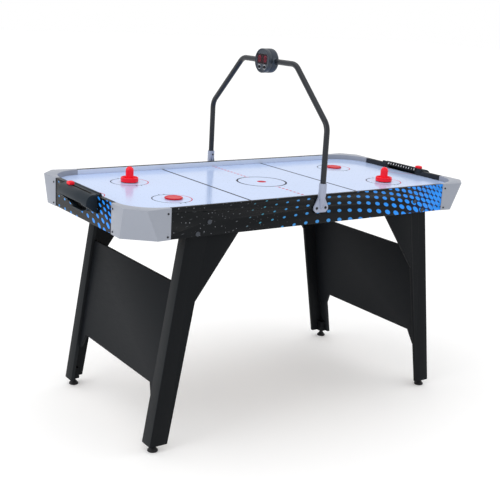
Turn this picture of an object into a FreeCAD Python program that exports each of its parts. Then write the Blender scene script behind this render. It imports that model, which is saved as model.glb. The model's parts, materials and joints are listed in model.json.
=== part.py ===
import FreeCAD, Part
import math
import os

# Air hockey table: a 54 inch games table with a fan-fed playing surface, four splayed L-shaped
# legs, two end panels, a goal with a sliding score marker at each end, and an overhead arch that
# carries an electronic scorer. Millimetres, +Z up, +X along the table, +Y across it. The origin
# is on the floor under the middle of the table. "left" is -X, "right" +X, "front" -Y, "rear" +Y.

os.makedirs("parts", exist_ok=True)
V = FreeCAD.Vector

# ---------------------------------------------------------------- driving dimensions
table_length = 1372.0      # between the outer faces of the end aprons
table_width = 670.0        # between the outer faces of the side aprons
rail_height = 787.5        # floor to the top of the rails
apron_depth = 95.5         # top of the rail to the bottom edge of the apron
apron_board = 12.0         # laminated fibreboard of the aprons
rail_strip = 3.0           # plastic strip that lines the inside of each rail
rail_strip_drop = 1.0      # the strip's top edge is this much below the rail's top
field_recess = 18.0        # rail top to playing surface
field_board = 5.0
plenum_depth = 16.5        # air space under the playing surface
plenum_board = 3.0
batten_width = 15.0
batten_end_gap = 10.0      # side battens stop this far short of the caps
batten_notch = 40.0        # air notches along the inner cross battens
batten_notch_web = 6.0     # wood left above each notch
batten_notches = 5
corner_radius = 113.0      # round inner corners of the playing area
corner_clip_share = 0.487  # corners cut off the inner boards, as a share of that radius
brace_lap = 20.0           # length of each brace that lies along the boards beyond the caps
brace_low_gap = 8.0
brace_high_gap = 5.0

cap_wall = 2.2             # moulded corner caps
cap_top = 2.5
cap_inner_wall = 3.0
cap_field_gap = 1.5        # clearance round the boards that run under each cap
cap_knees_top = ((6.5, 42.0), (43.0, 10.5))
cap_knees_bottom = ((4.5, 69.0), (84.0, 6.0))
apron_tongue = 40.0        # length of apron board that runs on inside each cap
cap_screw_inset = 11.0
cap_screw_drops = (16.0, 86.0)

goal_width = 152.0
goal_height = 12.5
hood_length = 216.0
hood_wall = 2.5
hood_rise = 4.0            # top of the hood above the rail
hood_ridge_rise = 7.5
hood_reach = 37.0          # how far the hood stands out from the end apron
hood_fascia_lip = 3.0      # overhang of the fascia into the playing area
hood_fascia_lean = 4.5     # how far the fascia leans back from its foot to its ridge
hood_ridge_width = 3.5     # flat on the ridge, and the same again for its back slope
hood_knee_out = 14.0       # where the top plate turns into the round front
hood_knee_drop = 23.5      # rail top to the end of the round front
hood_lip = 7.0             # upright lip below the round front
hood_floor_fall = 25.0     # fall of the pocket's floor from the lip to the apron
hood_header_gap = 2.0      # header over the goal mouth, short of the apron's outer face
pocket_width = 140.0
pocket_drop = 27.5         # rail top to the top edge of the puck pocket
pocket_depth = 31.0
hood_tray_width = 160.0     # round-bottomed tray that the puck lands in, under the hood
hood_tray_reach = 19.0      # how far the tray stands out from the apron
hood_tray_drop = 9.0        # how far it hangs below the hood's floor
strip_share = (0.08, 0.92)  # where the number strip starts and ends on the fascia
strip_thickness = 0.8
strip_over = 12.0          # strip length beyond each end of the marker's travel
score_slot_width = 5.0
score_slot_offset = 8.0    # slot centre, outward from the apron's outer face
score_travel = 144.0
slider_gap = 0.3
slider_length = 24.0
slider_width = 19.0
slider_height = 9.5
slider_round = 4.2
slider_neck = 12.0         # length of the neck and of the foot under the hood
slider_foot_width = 11.0
slider_foot_height = 1.6
slot_over = 8.0            # slot length beyond each end of the marker's travel

tube_radius = 9.5
tube_wall = 1.2
tube_clearance = 0.1
arch_offset = 6.0          # post centre line, outward from the side apron's face
arch_elbow_height = 1012.0
arch_top_height = 1190.0
arch_flat_half = 155.0     # half the length of the level part, to its elbows
arch_bend_radius = 50.0
socket_wall = 3.0
socket_height = 38.0
socket_floor = 8.0
bracket_plate = 5.0
bracket_width = 58.0
bracket_drop = 57.5        # rail top to the bottom of the bracket
bracket_screw_span = 36.0
bracket_screw_lift = 15.0  # screw line, above the bracket's bottom edge
bracket_step = 1.0         # socket base above the rail's top
bracket_corner = 9.0       # cut-off bottom corners
bracket_shoulder = 19.0    # where the plate starts to narrow, above its bottom edge
bracket_waist = 8.0        # where it is as narrow as the socket, below the rail's top
rib_length = 45.0
rib_foot_radius = 4.0
set_screw_drop = 13.0      # below the socket's rim

scorer_radius = 41.0
scorer_front = 29.0        # front face, ahead of the arch's plane
scorer_back = 19.0
scorer_wall = 2.2
scorer_rim = 2.0
scorer_rim_width = 3.5
scorer_rim_round = 1.8
scorer_back_round = 11.0
scorer_inner_round = 9.0
collar_wall = 2.2          # collars that hold the two tube ends
collar_margin = 0.2        # collars stop this far short of the parting line
collar_depth = 11.0        # collar's inner end, in from the case's edge
collar_proud = 8.0
lens_width = 60.0
lens_height = 33.0
lens_lift = 6.0            # lens centre above the scorer's centre
lens_thickness = 1.6
lens_corner = 4.0
lens_proud = 0.4           # ahead of the front plate
digit_width = 21.0
digit_height = 27.0
digit_pitch = 29.0
digit_depth = 5.0
digit_gap = 0.4
circuit_board = 1.6
button_radius = 5.0
button_pitch = 29.0
button_drop = 21.0
button_proud = 2.0
button_gap = 0.3
button_round = 0.8
button_flange = 1.2
button_flange_depth = 1.0

leg_board = 12.0
leg_top_outer = 497.0      # corner of the L at leg_ref_high
leg_foot_outer = 602.0     # the same corner at leg_ref_low
leg_top_inner = 420.0
leg_foot_inner = 540.0
leg_ref_high = 690.0
leg_ref_low = 20.0
leg_bottom = 24.0
leg_end_width_top = 42.0
leg_end_width_foot = 52.0
leg_corner_round = 3.0
leg_top_gap = 0.5
gusset_reach = 306.0
gusset_tip_height = 482.0
panel_board = 9.0
panel_top = 538.0
panel_bottom = 206.0
panel_ear_bottom = 154.0
panel_bottom_half = 237.0
panel_ear_half = 262.0
leg_bolts = ((425.0, 52.5), (465.0, 86.5))    # along the table, and below the rail's top
leg_bolt_radius = 3.0
leg_bolt_tail = 9.0        # thread that runs on past the boards
nut_radius = 5.5
nut_height = 5.0

foot_block_height = 40.0
foot_block_side = 26.0
stud_radius = 4.0
stud_clearance = 0.05
stud_wall = 7.0            # stud surface to the leg boards' inner faces at the leg's bottom
stud_top = 54.0
foot_radius = 17.0
foot_rim = 4.5
foot_cone_top = 14.0
foot_cone_radius = 9.0
foot_nut_top = 19.0
foot_nut_radius = 7.0
foot_round = 1.0

blower_radius = 58.0
blower_wall = 2.5
blower_height = 46.0
blower_hole_radius = 47.0
blower_flange = 12.0
blower_flange_thickness = 3.0
grille_rings = ((26.0, 10), (36.0, 14), (46.0, 18))    # radius and number of holes
grille_hole_radius = 3.2
impeller_radius = 45.0
impeller_height = 15.0
impeller_blades = 12
impeller_gap = 1.5         # above the motor
impeller_disc = 1.6
impeller_hub_radius = 9.0
impeller_hub_height = 11.0
blade_inner = 26.0
blade_thickness = 1.4
blade_pitch = 32.0         # degrees off the radius
motor_radius = 18.0
motor_height = 22.0
shaft_radius = 2.0
shaft_length = 10.5
shaft_clearance = 0.05

power_x = 250.0
power_width = 64.0
power_height = 32.0
power_plate = 2.0
power_drop = 65.75         # rail top to the panel's centre
power_lip = 5.0            # how far the plate laps the apron around its cut-out
jack_offset = 17.0
jack_barrel_radius = 6.5
jack_barrel_depth = 10.5
jack_collar = 1.5
rocker_offset = -13.0
rocker_well = 9.0
rocker_well_floor = 1.5
rocker_well_wall = 2.0
rocker_sink = 1.0          # rocker's axis behind the apron's face
rocker_back = 3.0
rocker_face = 3.2
jack_bore_radius = 2.75
jack_bore_depth = 9.0
rocker_width = 13.0
rocker_length = 20.0
rocker_tilt = 8.0
rocker_gap = 0.5

pusher_radius = 30.0
pusher_height = 53.0
pusher_knob_radius = 13.6
pusher_skirt = 15.0        # height of the pusher's outer ring
pusher_dish = 5.0          # bottom of the groove round the knob
felt_inset = 1.5
felt_thickness = 1.5
puck_radius = 29.0
puck_height = 5.0
puck_round = 0.8
puck_rim = 4.0
air_gap = 0.3
pusher_spots = ((-447.0, 145.0), (447.0, -145.0))
puck_spots = ((-441.0, -145.0), (453.0, 150.0))

screw_clearance = 0.05
screw_seat = 0.05          # gap left under a screw's head
cap_screw_head = (3.3, 1.6)    # radius and height
cap_screw_shank = 1.6
cap_screw_length = 11.0
hood_screw_head = (3.4, 1.8)
hood_screw_shank = 1.6
hood_screw_length = 13.0
hood_screw_back = 3.0      # screw line, inward from the apron's outer face
hood_screw_edge = 10.0     # screw from the hood's end
bracket_screw_head = (4.5, 2.4)
bracket_screw_shank = 2.0
bracket_screw_length = 14.0
set_screw_head = (3.4, 2.2)
set_screw_radius = 2.0
leg_bolt_head = (8.0, 3.4)
over = 1.0                 # how far a cutting tool runs past the face it opens

# ---------------------------------------------------------------- derived places
half_length = table_length / 2
half_width = table_width / 2
apron_bottom = rail_height - apron_depth
field_top = rail_height - field_recess
field_bottom = field_top - field_board
plenum_floor_top = field_bottom - plenum_depth
plenum_floor_bottom = plenum_floor_top - plenum_board
board_x = half_length - apron_board          # inner face of an end apron
board_y = half_width - apron_board           # inner face of a side apron
play_x = board_x - rail_strip                # inner face of an end rail
play_y = board_y - rail_strip
cap_edge_x = play_x - corner_radius          # where a cap's flange ends on the side apron
cap_edge_y = play_y - corner_radius
power_centre_z = rail_height - power_drop
collar_outer = tube_radius + tube_clearance + collar_wall
scorer_split = collar_outer + collar_margin      # parting line, ahead of the arch's plane
SIDES = ((-1, "left"), (1, "right"))
FRONTS = ((-1, "front"), (1, "rear"))


# ---------------------------------------------------------------- helpers
def box(x0, x1, y0, y1, z0, z1):
    return Part.makeBox(x1 - x0, y1 - y0, z1 - z0, V(x0, y0, z0))


def rod(radius, start, end):
    start = V(*start)
    axis = V(*end) - start
    return Part.makeCylinder(radius, axis.Length, start, axis)


def polygon(points):
    return Part.makePolygon([V(*p) for p in points] + [V(*points[0])])


def prism_z(points, z0, z1):
    face = Part.Face(polygon([(x, y, z0) for x, y in points]))
    return face.extrude(V(0, 0, z1 - z0))


def prism_y(points, y0, y1):
    """Extrude an outline drawn in X and Z along Y."""
    face = Part.Face(polygon([(x, y0, z) for x, z in points]))
    return face.extrude(V(0, y1 - y0, 0))


def turned(points, x, y):
    """Turn an outline of (radius, height) about the vertical line through x, y."""
    face = Part.Face(polygon([(x + r, y, z) for r, z in points]))
    return face.revolve(V(x, y, 0), V(0, 0, 1), 360)


def mirrored(shape, side_x, side_y):
    """Copy a shape made for +X, +Y into another quarter of the table."""
    result = shape.copy()
    if side_x < 0:
        result = result.mirror(V(0, 0, 0), V(1, 0, 0))
    if side_y < 0:
        result = result.mirror(V(0, 0, 0), V(0, 1, 0))
    return result


def cut_all(shape, tools):
    for tool in tools:
        shape = shape.cut(tool)
    return shape


def save(name, *shapes):
    solids = [solid for shape in shapes for solid in shape.Solids]
    for solid in solids:
        if not solid.isValid() or solid.Volume <= 0:
            print("bad solid in", name)
    whole = solids[0] if len(solids) == 1 else Part.makeCompound(solids)
    whole.exportStep("parts/" + name + ".step")
    print(name, len(solids), round(whole.Volume / 1000, 2), "cm3")


def screw_hole(point, outward, shank_radius, length):
    """Pilot hole for a screw whose head stands on the surface at point."""
    return rod(shank_radius + screw_clearance, point, V(*point) - V(*outward) * length)


def screw(point, outward, head, shank_radius, length):
    """A domed-head screw whose head stands on the surface at point."""
    head_radius, head_height = head
    out = V(*outward)
    base = V(*point) + out * screw_seat
    dome = Part.makeCylinder(head_radius, head_height, base, out)
    rim = [edge for edge in dome.Edges if (edge.CenterOfMass - base).dot(out) > head_height * 0.9]
    dome = dome.makeFillet(min(head_height, head_radius) * 0.6, rim[:1])
    shank = Part.makeCylinder(shank_radius, length, base, -out)
    return dome.fuse(shank).removeSplitter()


def round_rim(shape, x, radius):
    """Round the circular edge of a shape turned about X, at that x."""
    rim = [edge for edge in shape.Edges if edge.Closed and abs(edge.CenterOfMass.x - x) < 0.01]
    return shape.makeFillet(radius, rim[:1])


def round_along_x(shape, radius):
    """Round the four edges of a block that run along X."""
    edges = [e for e in shape.Edges if abs(e.tangentAt(e.FirstParameter).x) > 0.9]
    return shape.makeFillet(radius, edges)


# ---------------------------------------------------------------- corner caps
def cap_outline(knees, z, wall):
    """Plan outline of a cap at height z; wall pulls the outer line in, the inner line out."""
    skin = cap_wall - wall
    (end_out, end_back), (side_back, side_out) = knees
    inner = corner_radius + (cap_inner_wall if wall else 0.0)
    outer = [
        V(half_length + skin, cap_edge_y, z),
        V(half_length + end_out - wall, half_width - end_back - wall * 0.2, z),
        V(half_length - side_back - wall * 0.2, half_width + side_out - wall, z),
        V(cap_edge_x, half_width + skin, z),
        V(cap_edge_x, cap_edge_y + inner, z),
    ]
    last = V(cap_edge_x + inner, cap_edge_y, z)
    middle = V(cap_edge_x + inner * math.sqrt(0.5), cap_edge_y + inner * math.sqrt(0.5), z)
    edges = [Part.LineSegment(a, b).toShape() for a, b in zip(outer, outer[1:])]
    edges.append(Part.Arc(outer[-1], middle, last).toShape())
    edges.append(Part.LineSegment(last, outer[0]).toShape())
    return Part.Wire(edges)


def lerp_knees(fraction):
    return tuple(
        tuple(b + (t - b) * fraction for b, t in zip(low, high))
        for low, high in zip(cap_knees_bottom, cap_knees_top)
    )


def corner_cap():
    outside = Part.makeLoft(
        [cap_outline(cap_knees_bottom, apron_bottom, 0), cap_outline(cap_knees_top, rail_height, 0)],
        True, True)
    void_top = rail_height - cap_top
    void_share = (void_top - apron_bottom) / apron_depth
    inside = Part.makeLoft(
        [cap_outline(cap_knees_bottom, apron_bottom, cap_wall),
         cap_outline(lerp_knees(void_share), void_top, cap_wall)],
        True, True)
    under_field = rod(corner_radius + cap_inner_wall + cap_field_gap,
                      (cap_edge_x, cap_edge_y, apron_bottom - over), (cap_edge_x, cap_edge_y, field_top))
    return cut_all(outside, [inside, under_field] + cap_screw_holes())


def cap_screw_places():
    """Screw points and outward directions on the two flanges of the +X, +Y cap."""
    places = []
    for drop in cap_screw_drops:
        z = rail_height - drop
        (end_out, end_back), (side_back, side_out) = lerp_knees(1 - drop / apron_depth)
        side_flange = V(cap_edge_x, half_width + cap_wall, z)
        side_run = V(half_length - side_back, half_width + side_out, z) - side_flange
        side_run.normalize()
        places.append((side_flange + side_run * cap_screw_inset, V(-side_run.y, side_run.x, 0)))
        end_flange = V(half_length + cap_wall, cap_edge_y, z)
        end_run = V(half_length + end_out, half_width - end_back, z) - end_flange
        end_run.normalize()
        places.append((end_flange + end_run * cap_screw_inset, V(end_run.y, -end_run.x, 0)))
    return places


def cap_screw_holes():
    return [screw_hole(p, out, cap_screw_shank, cap_screw_length) for p, out in cap_screw_places()]


# ---------------------------------------------------------------- aprons, rails and playing surface
def leg_outer(z):
    slope = (leg_foot_outer - leg_top_outer) / (leg_ref_high - leg_ref_low)
    return leg_top_outer + (leg_ref_high - z) * slope


def leg_inner(z):
    slope = (leg_foot_inner - leg_top_inner) / (leg_ref_high - leg_ref_low)
    return leg_top_inner + (leg_ref_high - z) * slope


def bracket_screw_places():
    z = rail_height - bracket_drop + bracket_screw_lift
    half = bracket_screw_span / 2
    return [((x, half_width + bracket_plate, z), (0, 1, 0)) for x in (-half, half)]


def leg_bolt_hole(x, z):
    return rod(leg_bolt_radius + screw_clearance,
               (x, board_y - leg_board - over, z), (x, half_width + over, z))


def leg_bolt_places():
    return [(x, rail_height - drop) for x, drop in leg_bolts]


def side_apron():
    reach = cap_edge_x + apron_tongue
    board = box(-reach, reach, board_y, half_width, apron_bottom, rail_height)
    tools = []
    for side_x in (-1, 1):
        rebate = box(cap_edge_x, reach, board_y, half_width, rail_height - cap_top, rail_height)
        tools.append(mirrored(rebate, side_x, 1))
        tools += [mirrored(hole, side_x, 1) for hole in cap_screw_holes()]
        for x, z in leg_bolt_places():
            tools.append(leg_bolt_hole(side_x * x, z))
    for point, out in bracket_screw_places():
        tools.append(screw_hole(point, out, bracket_screw_shank, bracket_screw_length))
    return cut_all(board, tools)


def power_cutout():
    half_x = power_width / 2 - power_lip
    half_z = power_height / 2 - power_lip
    z = power_centre_z
    return box(power_x - half_x, power_x + half_x, board_y, half_width, z - half_z, z + half_z)


def hood_screw_places():
    y = hood_length / 2 - hood_screw_edge
    x = half_length - hood_screw_back
    return [((x, side * y, rail_height + hood_rise), (0, 0, 1)) for side in (-1, 1)]


def end_apron():
    reach = cap_edge_y + apron_tongue
    board = box(board_x, half_length, -reach, reach, apron_bottom, rail_height)
    tools = [box(board_x, half_length, -goal_width / 2, goal_width / 2, field_top, rail_height)]
    for side_y in (-1, 1):
        rebate = box(board_x, half_length, cap_edge_y, reach, rail_height - cap_top, rail_height)
        tools.append(mirrored(rebate, 1, side_y))
        tools += [mirrored(hole, 1, side_y) for hole in cap_screw_holes()]
    for point, out in hood_screw_places():
        tools.append(screw_hole(point, out, hood_screw_shank, hood_screw_length))
    return cut_all(board, tools)


def clipped_board(z0, z1):
    """Board that fills the space inside the aprons, with its corners clipped inside the caps."""
    clip = corner_radius * corner_clip_share
    points = [
        (board_x, board_y - clip), (board_x - clip, board_y), (clip - board_x, board_y),
        (-board_x, board_y - clip), (-board_x, clip - board_y), (clip - board_x, -board_y),
        (board_x - clip, -board_y), (board_x, clip - board_y),
    ]
    return prism_z(points, z0, z1)


side_board = side_apron()
save("side_apron_front", mirrored(side_board, 1, -1))
save("side_apron_rear", side_board.cut(power_cutout()))
end_board = end_apron()
for side, word in SIDES:
    save("end_apron_" + word, mirrored(end_board, side, 1))

strip_top = rail_height - rail_strip_drop
side_strip = box(-cap_edge_x, cap_edge_x, play_y, board_y, field_top, strip_top)
save("side_rails", side_strip, mirrored(side_strip, 1, -1))
end_strip = box(play_x, board_x, goal_width / 2, cap_edge_y, field_top, rail_height)
save("end_rails", *[mirrored(end_strip, x, y) for x in (-1, 1) for y in (-1, 1)])

save("playfield", clipped_board(field_bottom, field_top))
blower_hole = rod(blower_hole_radius, (0, 0, plenum_floor_bottom - over), (0, 0, plenum_floor_top + over))
save("plenum_floor", clipped_board(plenum_floor_bottom, plenum_floor_top).cut(blower_hole))

batten_end = cap_edge_x - batten_end_gap
side_batten = box(-batten_end, batten_end, board_y - batten_width, board_y, plenum_floor_top, field_bottom)
save("plenum_side_battens", side_batten, mirrored(side_batten, 1, -1))


def cross_batten(x, half_y):
    return box(x - batten_width / 2, x + batten_width / 2, -half_y, half_y, plenum_floor_top, field_bottom)


end_batten = cross_batten(board_x - batten_width / 2, cap_edge_y)
inner_x = batten_end / 2
inner_half = board_y - batten_width
inner_batten = cross_batten(inner_x, inner_half)
for step in range(batten_notches):
    y = inner_half * ((2 * step + 1) / batten_notches - 1)
    notch = box(inner_x - batten_width, inner_x + batten_width, y - batten_notch / 2, y + batten_notch / 2,
                plenum_floor_top, field_bottom - batten_notch_web)
    inner_batten = inner_batten.cut(notch)
save("plenum_cross_battens",
     *[mirrored(bar, side, 1) for bar in (end_batten, inner_batten) for side in (1, -1)])

brace = prism_z(
    [(cap_edge_x - brace_lap, board_y), (cap_edge_x + apron_tongue, board_y),
     (board_x, cap_edge_y + apron_tongue), (board_x, cap_edge_y - brace_lap)],
    apron_bottom + brace_low_gap, plenum_floor_bottom - brace_high_gap)
save("corner_braces", *[mirrored(brace, x, y) for x in (-1, 1) for y in (-1, 1)])

cap = corner_cap()
cap_screws = []
for side_y, front in FRONTS:
    for side_x, word in SIDES:
        save("corner_cap_" + front + "_" + word, mirrored(cap, side_x, side_y))
        for point, out in cap_screw_places():
            one = screw(point, out, cap_screw_head, cap_screw_shank, cap_screw_length)
            cap_screws.append(mirrored(one, side_x, side_y))
save("cap_screws", *cap_screws)


# ---------------------------------------------------------------- goals
def hood_outline(inset):
    """Curved front and floor of a goal hood, in X and Z, from the top plate to the apron."""
    top = rail_height + hood_rise - inset
    front = half_length + hood_reach - inset
    knee_x = half_length + hood_knee_out
    knee_z = rail_height - hood_knee_drop
    fall = math.atan2(hood_floor_fall, hood_reach)
    lip_z = knee_z - hood_lip + inset * math.tan(fall / 2)
    back_z = knee_z - hood_lip - hood_floor_fall + inset / math.cos(fall)
    rx = front - knee_x
    rz = top - knee_z
    middle = V(knee_x + rx * math.sqrt(0.5), 0, knee_z + rz * math.sqrt(0.5))
    return V(knee_x, 0, top), middle, V(front, 0, knee_z), V(front, 0, lip_z), V(half_length, 0, back_z)


def outline_solid(start_points, inset, y0, y1):
    knee, middle, front, lip, back = hood_outline(inset)
    path = [V(x, 0, z) for x, z in start_points] + [knee]
    edges = [Part.LineSegment(a, b).toShape() for a, b in zip(path, path[1:])]
    edges.append(Part.Arc(knee, middle, front).toShape())
    edges.append(Part.LineSegment(front, lip).toShape())
    edges.append(Part.LineSegment(lip, back).toShape())
    edges.append(Part.LineSegment(back, path[0]).toShape())
    face = Part.Face(Part.Wire(edges))
    face.translate(V(0, y0, 0))
    return face.extrude(V(0, y1 - y0, 0))


fascia_low_x = play_x - hood_fascia_lip
fascia_low_z = field_top + goal_height
fascia_high_x = fascia_low_x + hood_fascia_lean
ridge_z = rail_height + hood_ridge_rise
slot_x = half_length + score_slot_offset
hood_top_z = rail_height + hood_rise


def puck_tray(inset):
    """Trough with a round bottom, under the floor of the hood."""
    half = hood_tray_width / 2 - inset
    back_z = rail_height - hood_knee_drop - hood_lip - hood_floor_fall
    low = back_z - hood_tray_drop + inset
    side_z = back_z + hood_floor_fall * hood_tray_reach / hood_reach
    top = side_z + hood_wall + inset
    left, right = V(half_length, -half, side_z), V(half_length, half, side_z)
    high_left, high_right = V(half_length, -half, top), V(half_length, half, top)
    edges = [Part.Arc(left, V(half_length, 0, low), right).toShape()]
    edges += [Part.LineSegment(a, b).toShape()
              for a, b in ((right, high_right), (high_right, high_left), (high_left, left))]
    return Part.Face(Part.Wire(edges)).extrude(V(hood_tray_reach - inset, 0, 0))


def goal_hood():
    half = hood_length / 2
    start = [
        (half_length, rail_height), (play_x, rail_height), (play_x, fascia_low_z),
        (fascia_low_x, fascia_low_z), (fascia_high_x, ridge_z), (fascia_high_x + hood_ridge_width, ridge_z),
        (fascia_high_x + 2 * hood_ridge_width, hood_top_z),
    ]
    body = outline_solid(start, 0, -half, half)
    hollow_top = hood_top_z - hood_wall
    hollow = outline_solid([(half_length, hollow_top)], hood_wall, hood_wall - half, half - hood_wall)
    header = box(play_x, half_length - hood_header_gap, -goal_width / 2, goal_width / 2,
                 fascia_low_z, rail_height)
    slot_half = score_travel / 2 + slot_over
    slot = box(slot_x - score_slot_width / 2, slot_x + score_slot_width / 2, -slot_half, slot_half,
               hollow_top - over, hood_top_z + over)
    pocket_top = rail_height - pocket_drop
    pocket = box(half_length + hood_knee_out, half_length + hood_reach + over, -pocket_width / 2,
                 pocket_width / 2, pocket_top - pocket_depth, pocket_top)
    holes = [screw_hole(p, out, hood_screw_shank, hood_screw_length) for p, out in hood_screw_places()]
    shell = body.fuse([header, puck_tray(0)]).cut(hollow)
    return cut_all(shell, [puck_tray(hood_wall), slot, pocket] + holes).removeSplitter()


def score_strip():
    """Plate with the score numbers, laid on the sloping fascia."""
    low = V(fascia_low_x, 0, fascia_low_z)
    slope = V(fascia_high_x, 0, ridge_z) - low
    out = V(-slope.z, 0, slope.x)
    out.normalize()
    half = score_travel / 2 + strip_over
    a, b = [low + slope * share for share in strip_share]
    corners = [a, b, b + out * strip_thickness, a + out * strip_thickness]
    return prism_y([(p.x, p.z) for p in corners], -half, half)


def slot_block(y, width, length, z0, z1):
    """Block centred on the slot at that place along it."""
    return box(slot_x - width / 2, slot_x + width / 2, y - length / 2, y + length / 2, z0, z1)


def score_slider(y):
    """Marker at one place along the slot: knob above the hood, neck in the slot, foot below."""
    knob_low = hood_top_z + slider_gap
    knob = slot_block(y, slider_width, slider_length, knob_low, knob_low + slider_height)
    knob = knob.makeFillet(slider_round, [e for e in knob.Edges if e.CenterOfMass.z > knob_low + over])
    foot_top = hood_top_z - hood_wall - slider_gap
    foot_low = foot_top - slider_foot_height
    neck_width = score_slot_width - 2 * slider_gap
    neck = slot_block(y, neck_width, slider_neck, foot_low, knob_low + slider_height / 2)
    foot = slot_block(y, slider_foot_width, slider_neck, foot_low, foot_top)
    return knob.fuse(neck).fuse(foot).removeSplitter()


hood = goal_hood()
strip = score_strip()
hood_screws = []
for side, word in SIDES:
    save("goal_hood_" + word, mirrored(hood, side, 1))
    save("score_slider_" + word, mirrored(score_slider(-side * score_travel / 2), side, 1))
    for point, out in hood_screw_places():
        one = screw(point, out, hood_screw_head, hood_screw_shank, hood_screw_length)
        hood_screws.append(mirrored(one, side, 1))
save("score_strips", strip, mirrored(strip, -1, 1))
save("hood_screws", *hood_screws)


# ---------------------------------------------------------------- arch and its brackets
arch_y = half_width + arch_offset
socket_outer = tube_radius + tube_clearance + socket_wall
socket_base = rail_height + bracket_step
tube_foot_z = socket_base + socket_floor
set_screw_z = socket_base + socket_height - set_screw_drop
collar_inner_y = scorer_radius - collar_depth


def bent_path():
    """Centre line of half the arch: post, elbow, slope, elbow, level part."""
    corners = [
        V(0, arch_y, tube_foot_z), V(0, arch_y, arch_elbow_height),
        V(0, arch_flat_half, arch_top_height), V(0, collar_inner_y, arch_top_height),
    ]
    edges = []
    start = corners[0]
    for before, corner, after in zip(corners, corners[1:], corners[2:]):
        back = (before - corner).normalize()
        ahead = (after - corner).normalize()
        half_angle = back.getAngle(ahead) / 2
        setback = arch_bend_radius / math.tan(half_angle)
        enter = corner + back * setback
        leave = corner + ahead * setback
        bisector = (back + ahead).normalize()
        centre = corner + bisector * (arch_bend_radius / math.sin(half_angle))
        middle = centre - bisector * arch_bend_radius
        edges.append(Part.LineSegment(start, enter).toShape())
        edges.append(Part.Arc(enter, middle, leave).toShape())
        start = leave
    edges.append(Part.LineSegment(start, corners[-1]).toShape())
    return Part.Wire(edges)


def pipe(path, radius):
    circle = Part.Wire(Part.makeCircle(radius, V(0, arch_y, tube_foot_z), V(0, 0, 1)))
    return path.makePipeShell([circle], True, True)


def arch_bracket():
    socket = rod(socket_outer, (0, arch_y, socket_base), (0, arch_y, socket_base + socket_height))
    half = bracket_width / 2
    low = rail_height - bracket_drop
    shoulder = low + bracket_shoulder
    waist = rail_height - bracket_waist
    outline = [
        (-socket_outer, tube_foot_z), (-socket_outer, waist), (-half, shoulder),
        (-half, low + bracket_corner), (-half + bracket_corner, low), (half - bracket_corner, low),
        (half, low + bracket_corner), (half, shoulder), (socket_outer, waist), (socket_outer, tube_foot_z),
    ]
    plate = prism_y(outline, half_width, half_width + bracket_plate)
    rib_foot = V(0, arch_y, socket_base - rib_length)
    rib = Part.makeCone(rib_foot_radius, socket_outer, rib_length, rib_foot, V(0, 0, 1))
    rib = rib.common(box(-half, half, half_width, arch_y + socket_outer, low, tube_foot_z))
    body = socket.fuse(plate).fuse(rib).removeSplitter()
    bore = rod(tube_radius + tube_clearance, (0, arch_y, tube_foot_z), (0, arch_y, arch_elbow_height))
    holes = [screw_hole(p, out, bracket_screw_shank, bracket_screw_length)
             for p, out in bracket_screw_places()]
    return cut_all(body, [bore, set_screw_hole()] + holes)


def set_screw_hole():
    return rod(set_screw_radius + screw_clearance,
               (0, arch_y - socket_outer - over, set_screw_z), (0, arch_y - tube_radius, set_screw_z))


path = bent_path()
tube = pipe(path, tube_radius).cut(pipe(path, tube_radius - tube_wall))
bracket = arch_bracket()
arch_screws = []
for side, word in FRONTS:
    save("arch_tube_" + word, mirrored(tube, 1, side))
    save("arch_bracket_" + word, mirrored(bracket, 1, side))
    for point, out in bracket_screw_places():
        one = screw(point, out, bracket_screw_head, bracket_screw_shank, bracket_screw_length)
        arch_screws.append(mirrored(one, 1, side))
    set_screw = screw((0, arch_y - socket_outer, set_screw_z), (0, -1, 0), set_screw_head,
                      set_screw_radius, socket_outer - tube_radius)
    arch_screws.append(mirrored(set_screw, 1, side))
save("arch_screws", *arch_screws)

# ---------------------------------------------------------------- electronic scorer
scorer_z = arch_top_height
lens_z = scorer_z + lens_lift
button_z = scorer_z - button_drop
face_x = scorer_rim - scorer_front           # front plate's outer face
face_inner_x = face_x + scorer_wall
lens_x = face_x - lens_proud
digit_x = lens_x + lens_thickness + digit_gap
board_front_x = digit_x + digit_depth
button_ys = (-button_pitch / 2, button_pitch / 2)


def disc(radius, x0, x1):
    """Round slice of the scorer, about its own axis."""
    return rod(radius, (x0, 0, scorer_z), (x1, 0, scorer_z))


def facing_block(x0, x1, y, width, height):
    """Upright block behind the display window."""
    return box(x0, x1, y - width / 2, y + width / 2, lens_z - height / 2, lens_z + height / 2)


def front_shell():
    shell = round_rim(disc(scorer_radius, -scorer_front, -scorer_split), -scorer_front, scorer_rim_round)
    recess = disc(scorer_radius - scorer_rim_width, -scorer_front - over, face_x)
    hollow = disc(scorer_radius - scorer_wall, face_inner_x, -scorer_split)
    window = facing_block(-scorer_front - over, face_inner_x + over, 0, lens_width, lens_height)
    holes = [rod(button_radius + button_gap, (-scorer_front - over, y, button_z), (0, y, button_z))
             for y in button_ys]
    return cut_all(shell, [recess, hollow, round_along_x(window, lens_corner)] + holes)


def rear_shell():
    shell = round_rim(disc(scorer_radius, -scorer_split, scorer_back), scorer_back, scorer_back_round)
    hollow_end = scorer_back - scorer_wall
    hollow = round_rim(disc(scorer_radius - scorer_wall, -scorer_split, hollow_end), hollow_end,
                       scorer_inner_round)
    shell = shell.cut(hollow)
    for end in (-1, 1):
        shell = shell.fuse(rod(collar_outer, (0, end * collar_inner_y, scorer_z),
                               (0, end * (scorer_radius + collar_proud), scorer_z)))
    for end in (-1, 1):
        shell = shell.cut(rod(tube_radius + tube_clearance, (0, end * (collar_inner_y - over), scorer_z),
                              (0, end * (scorer_radius + collar_proud + over), scorer_z)))
    return shell.removeSplitter()


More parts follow.
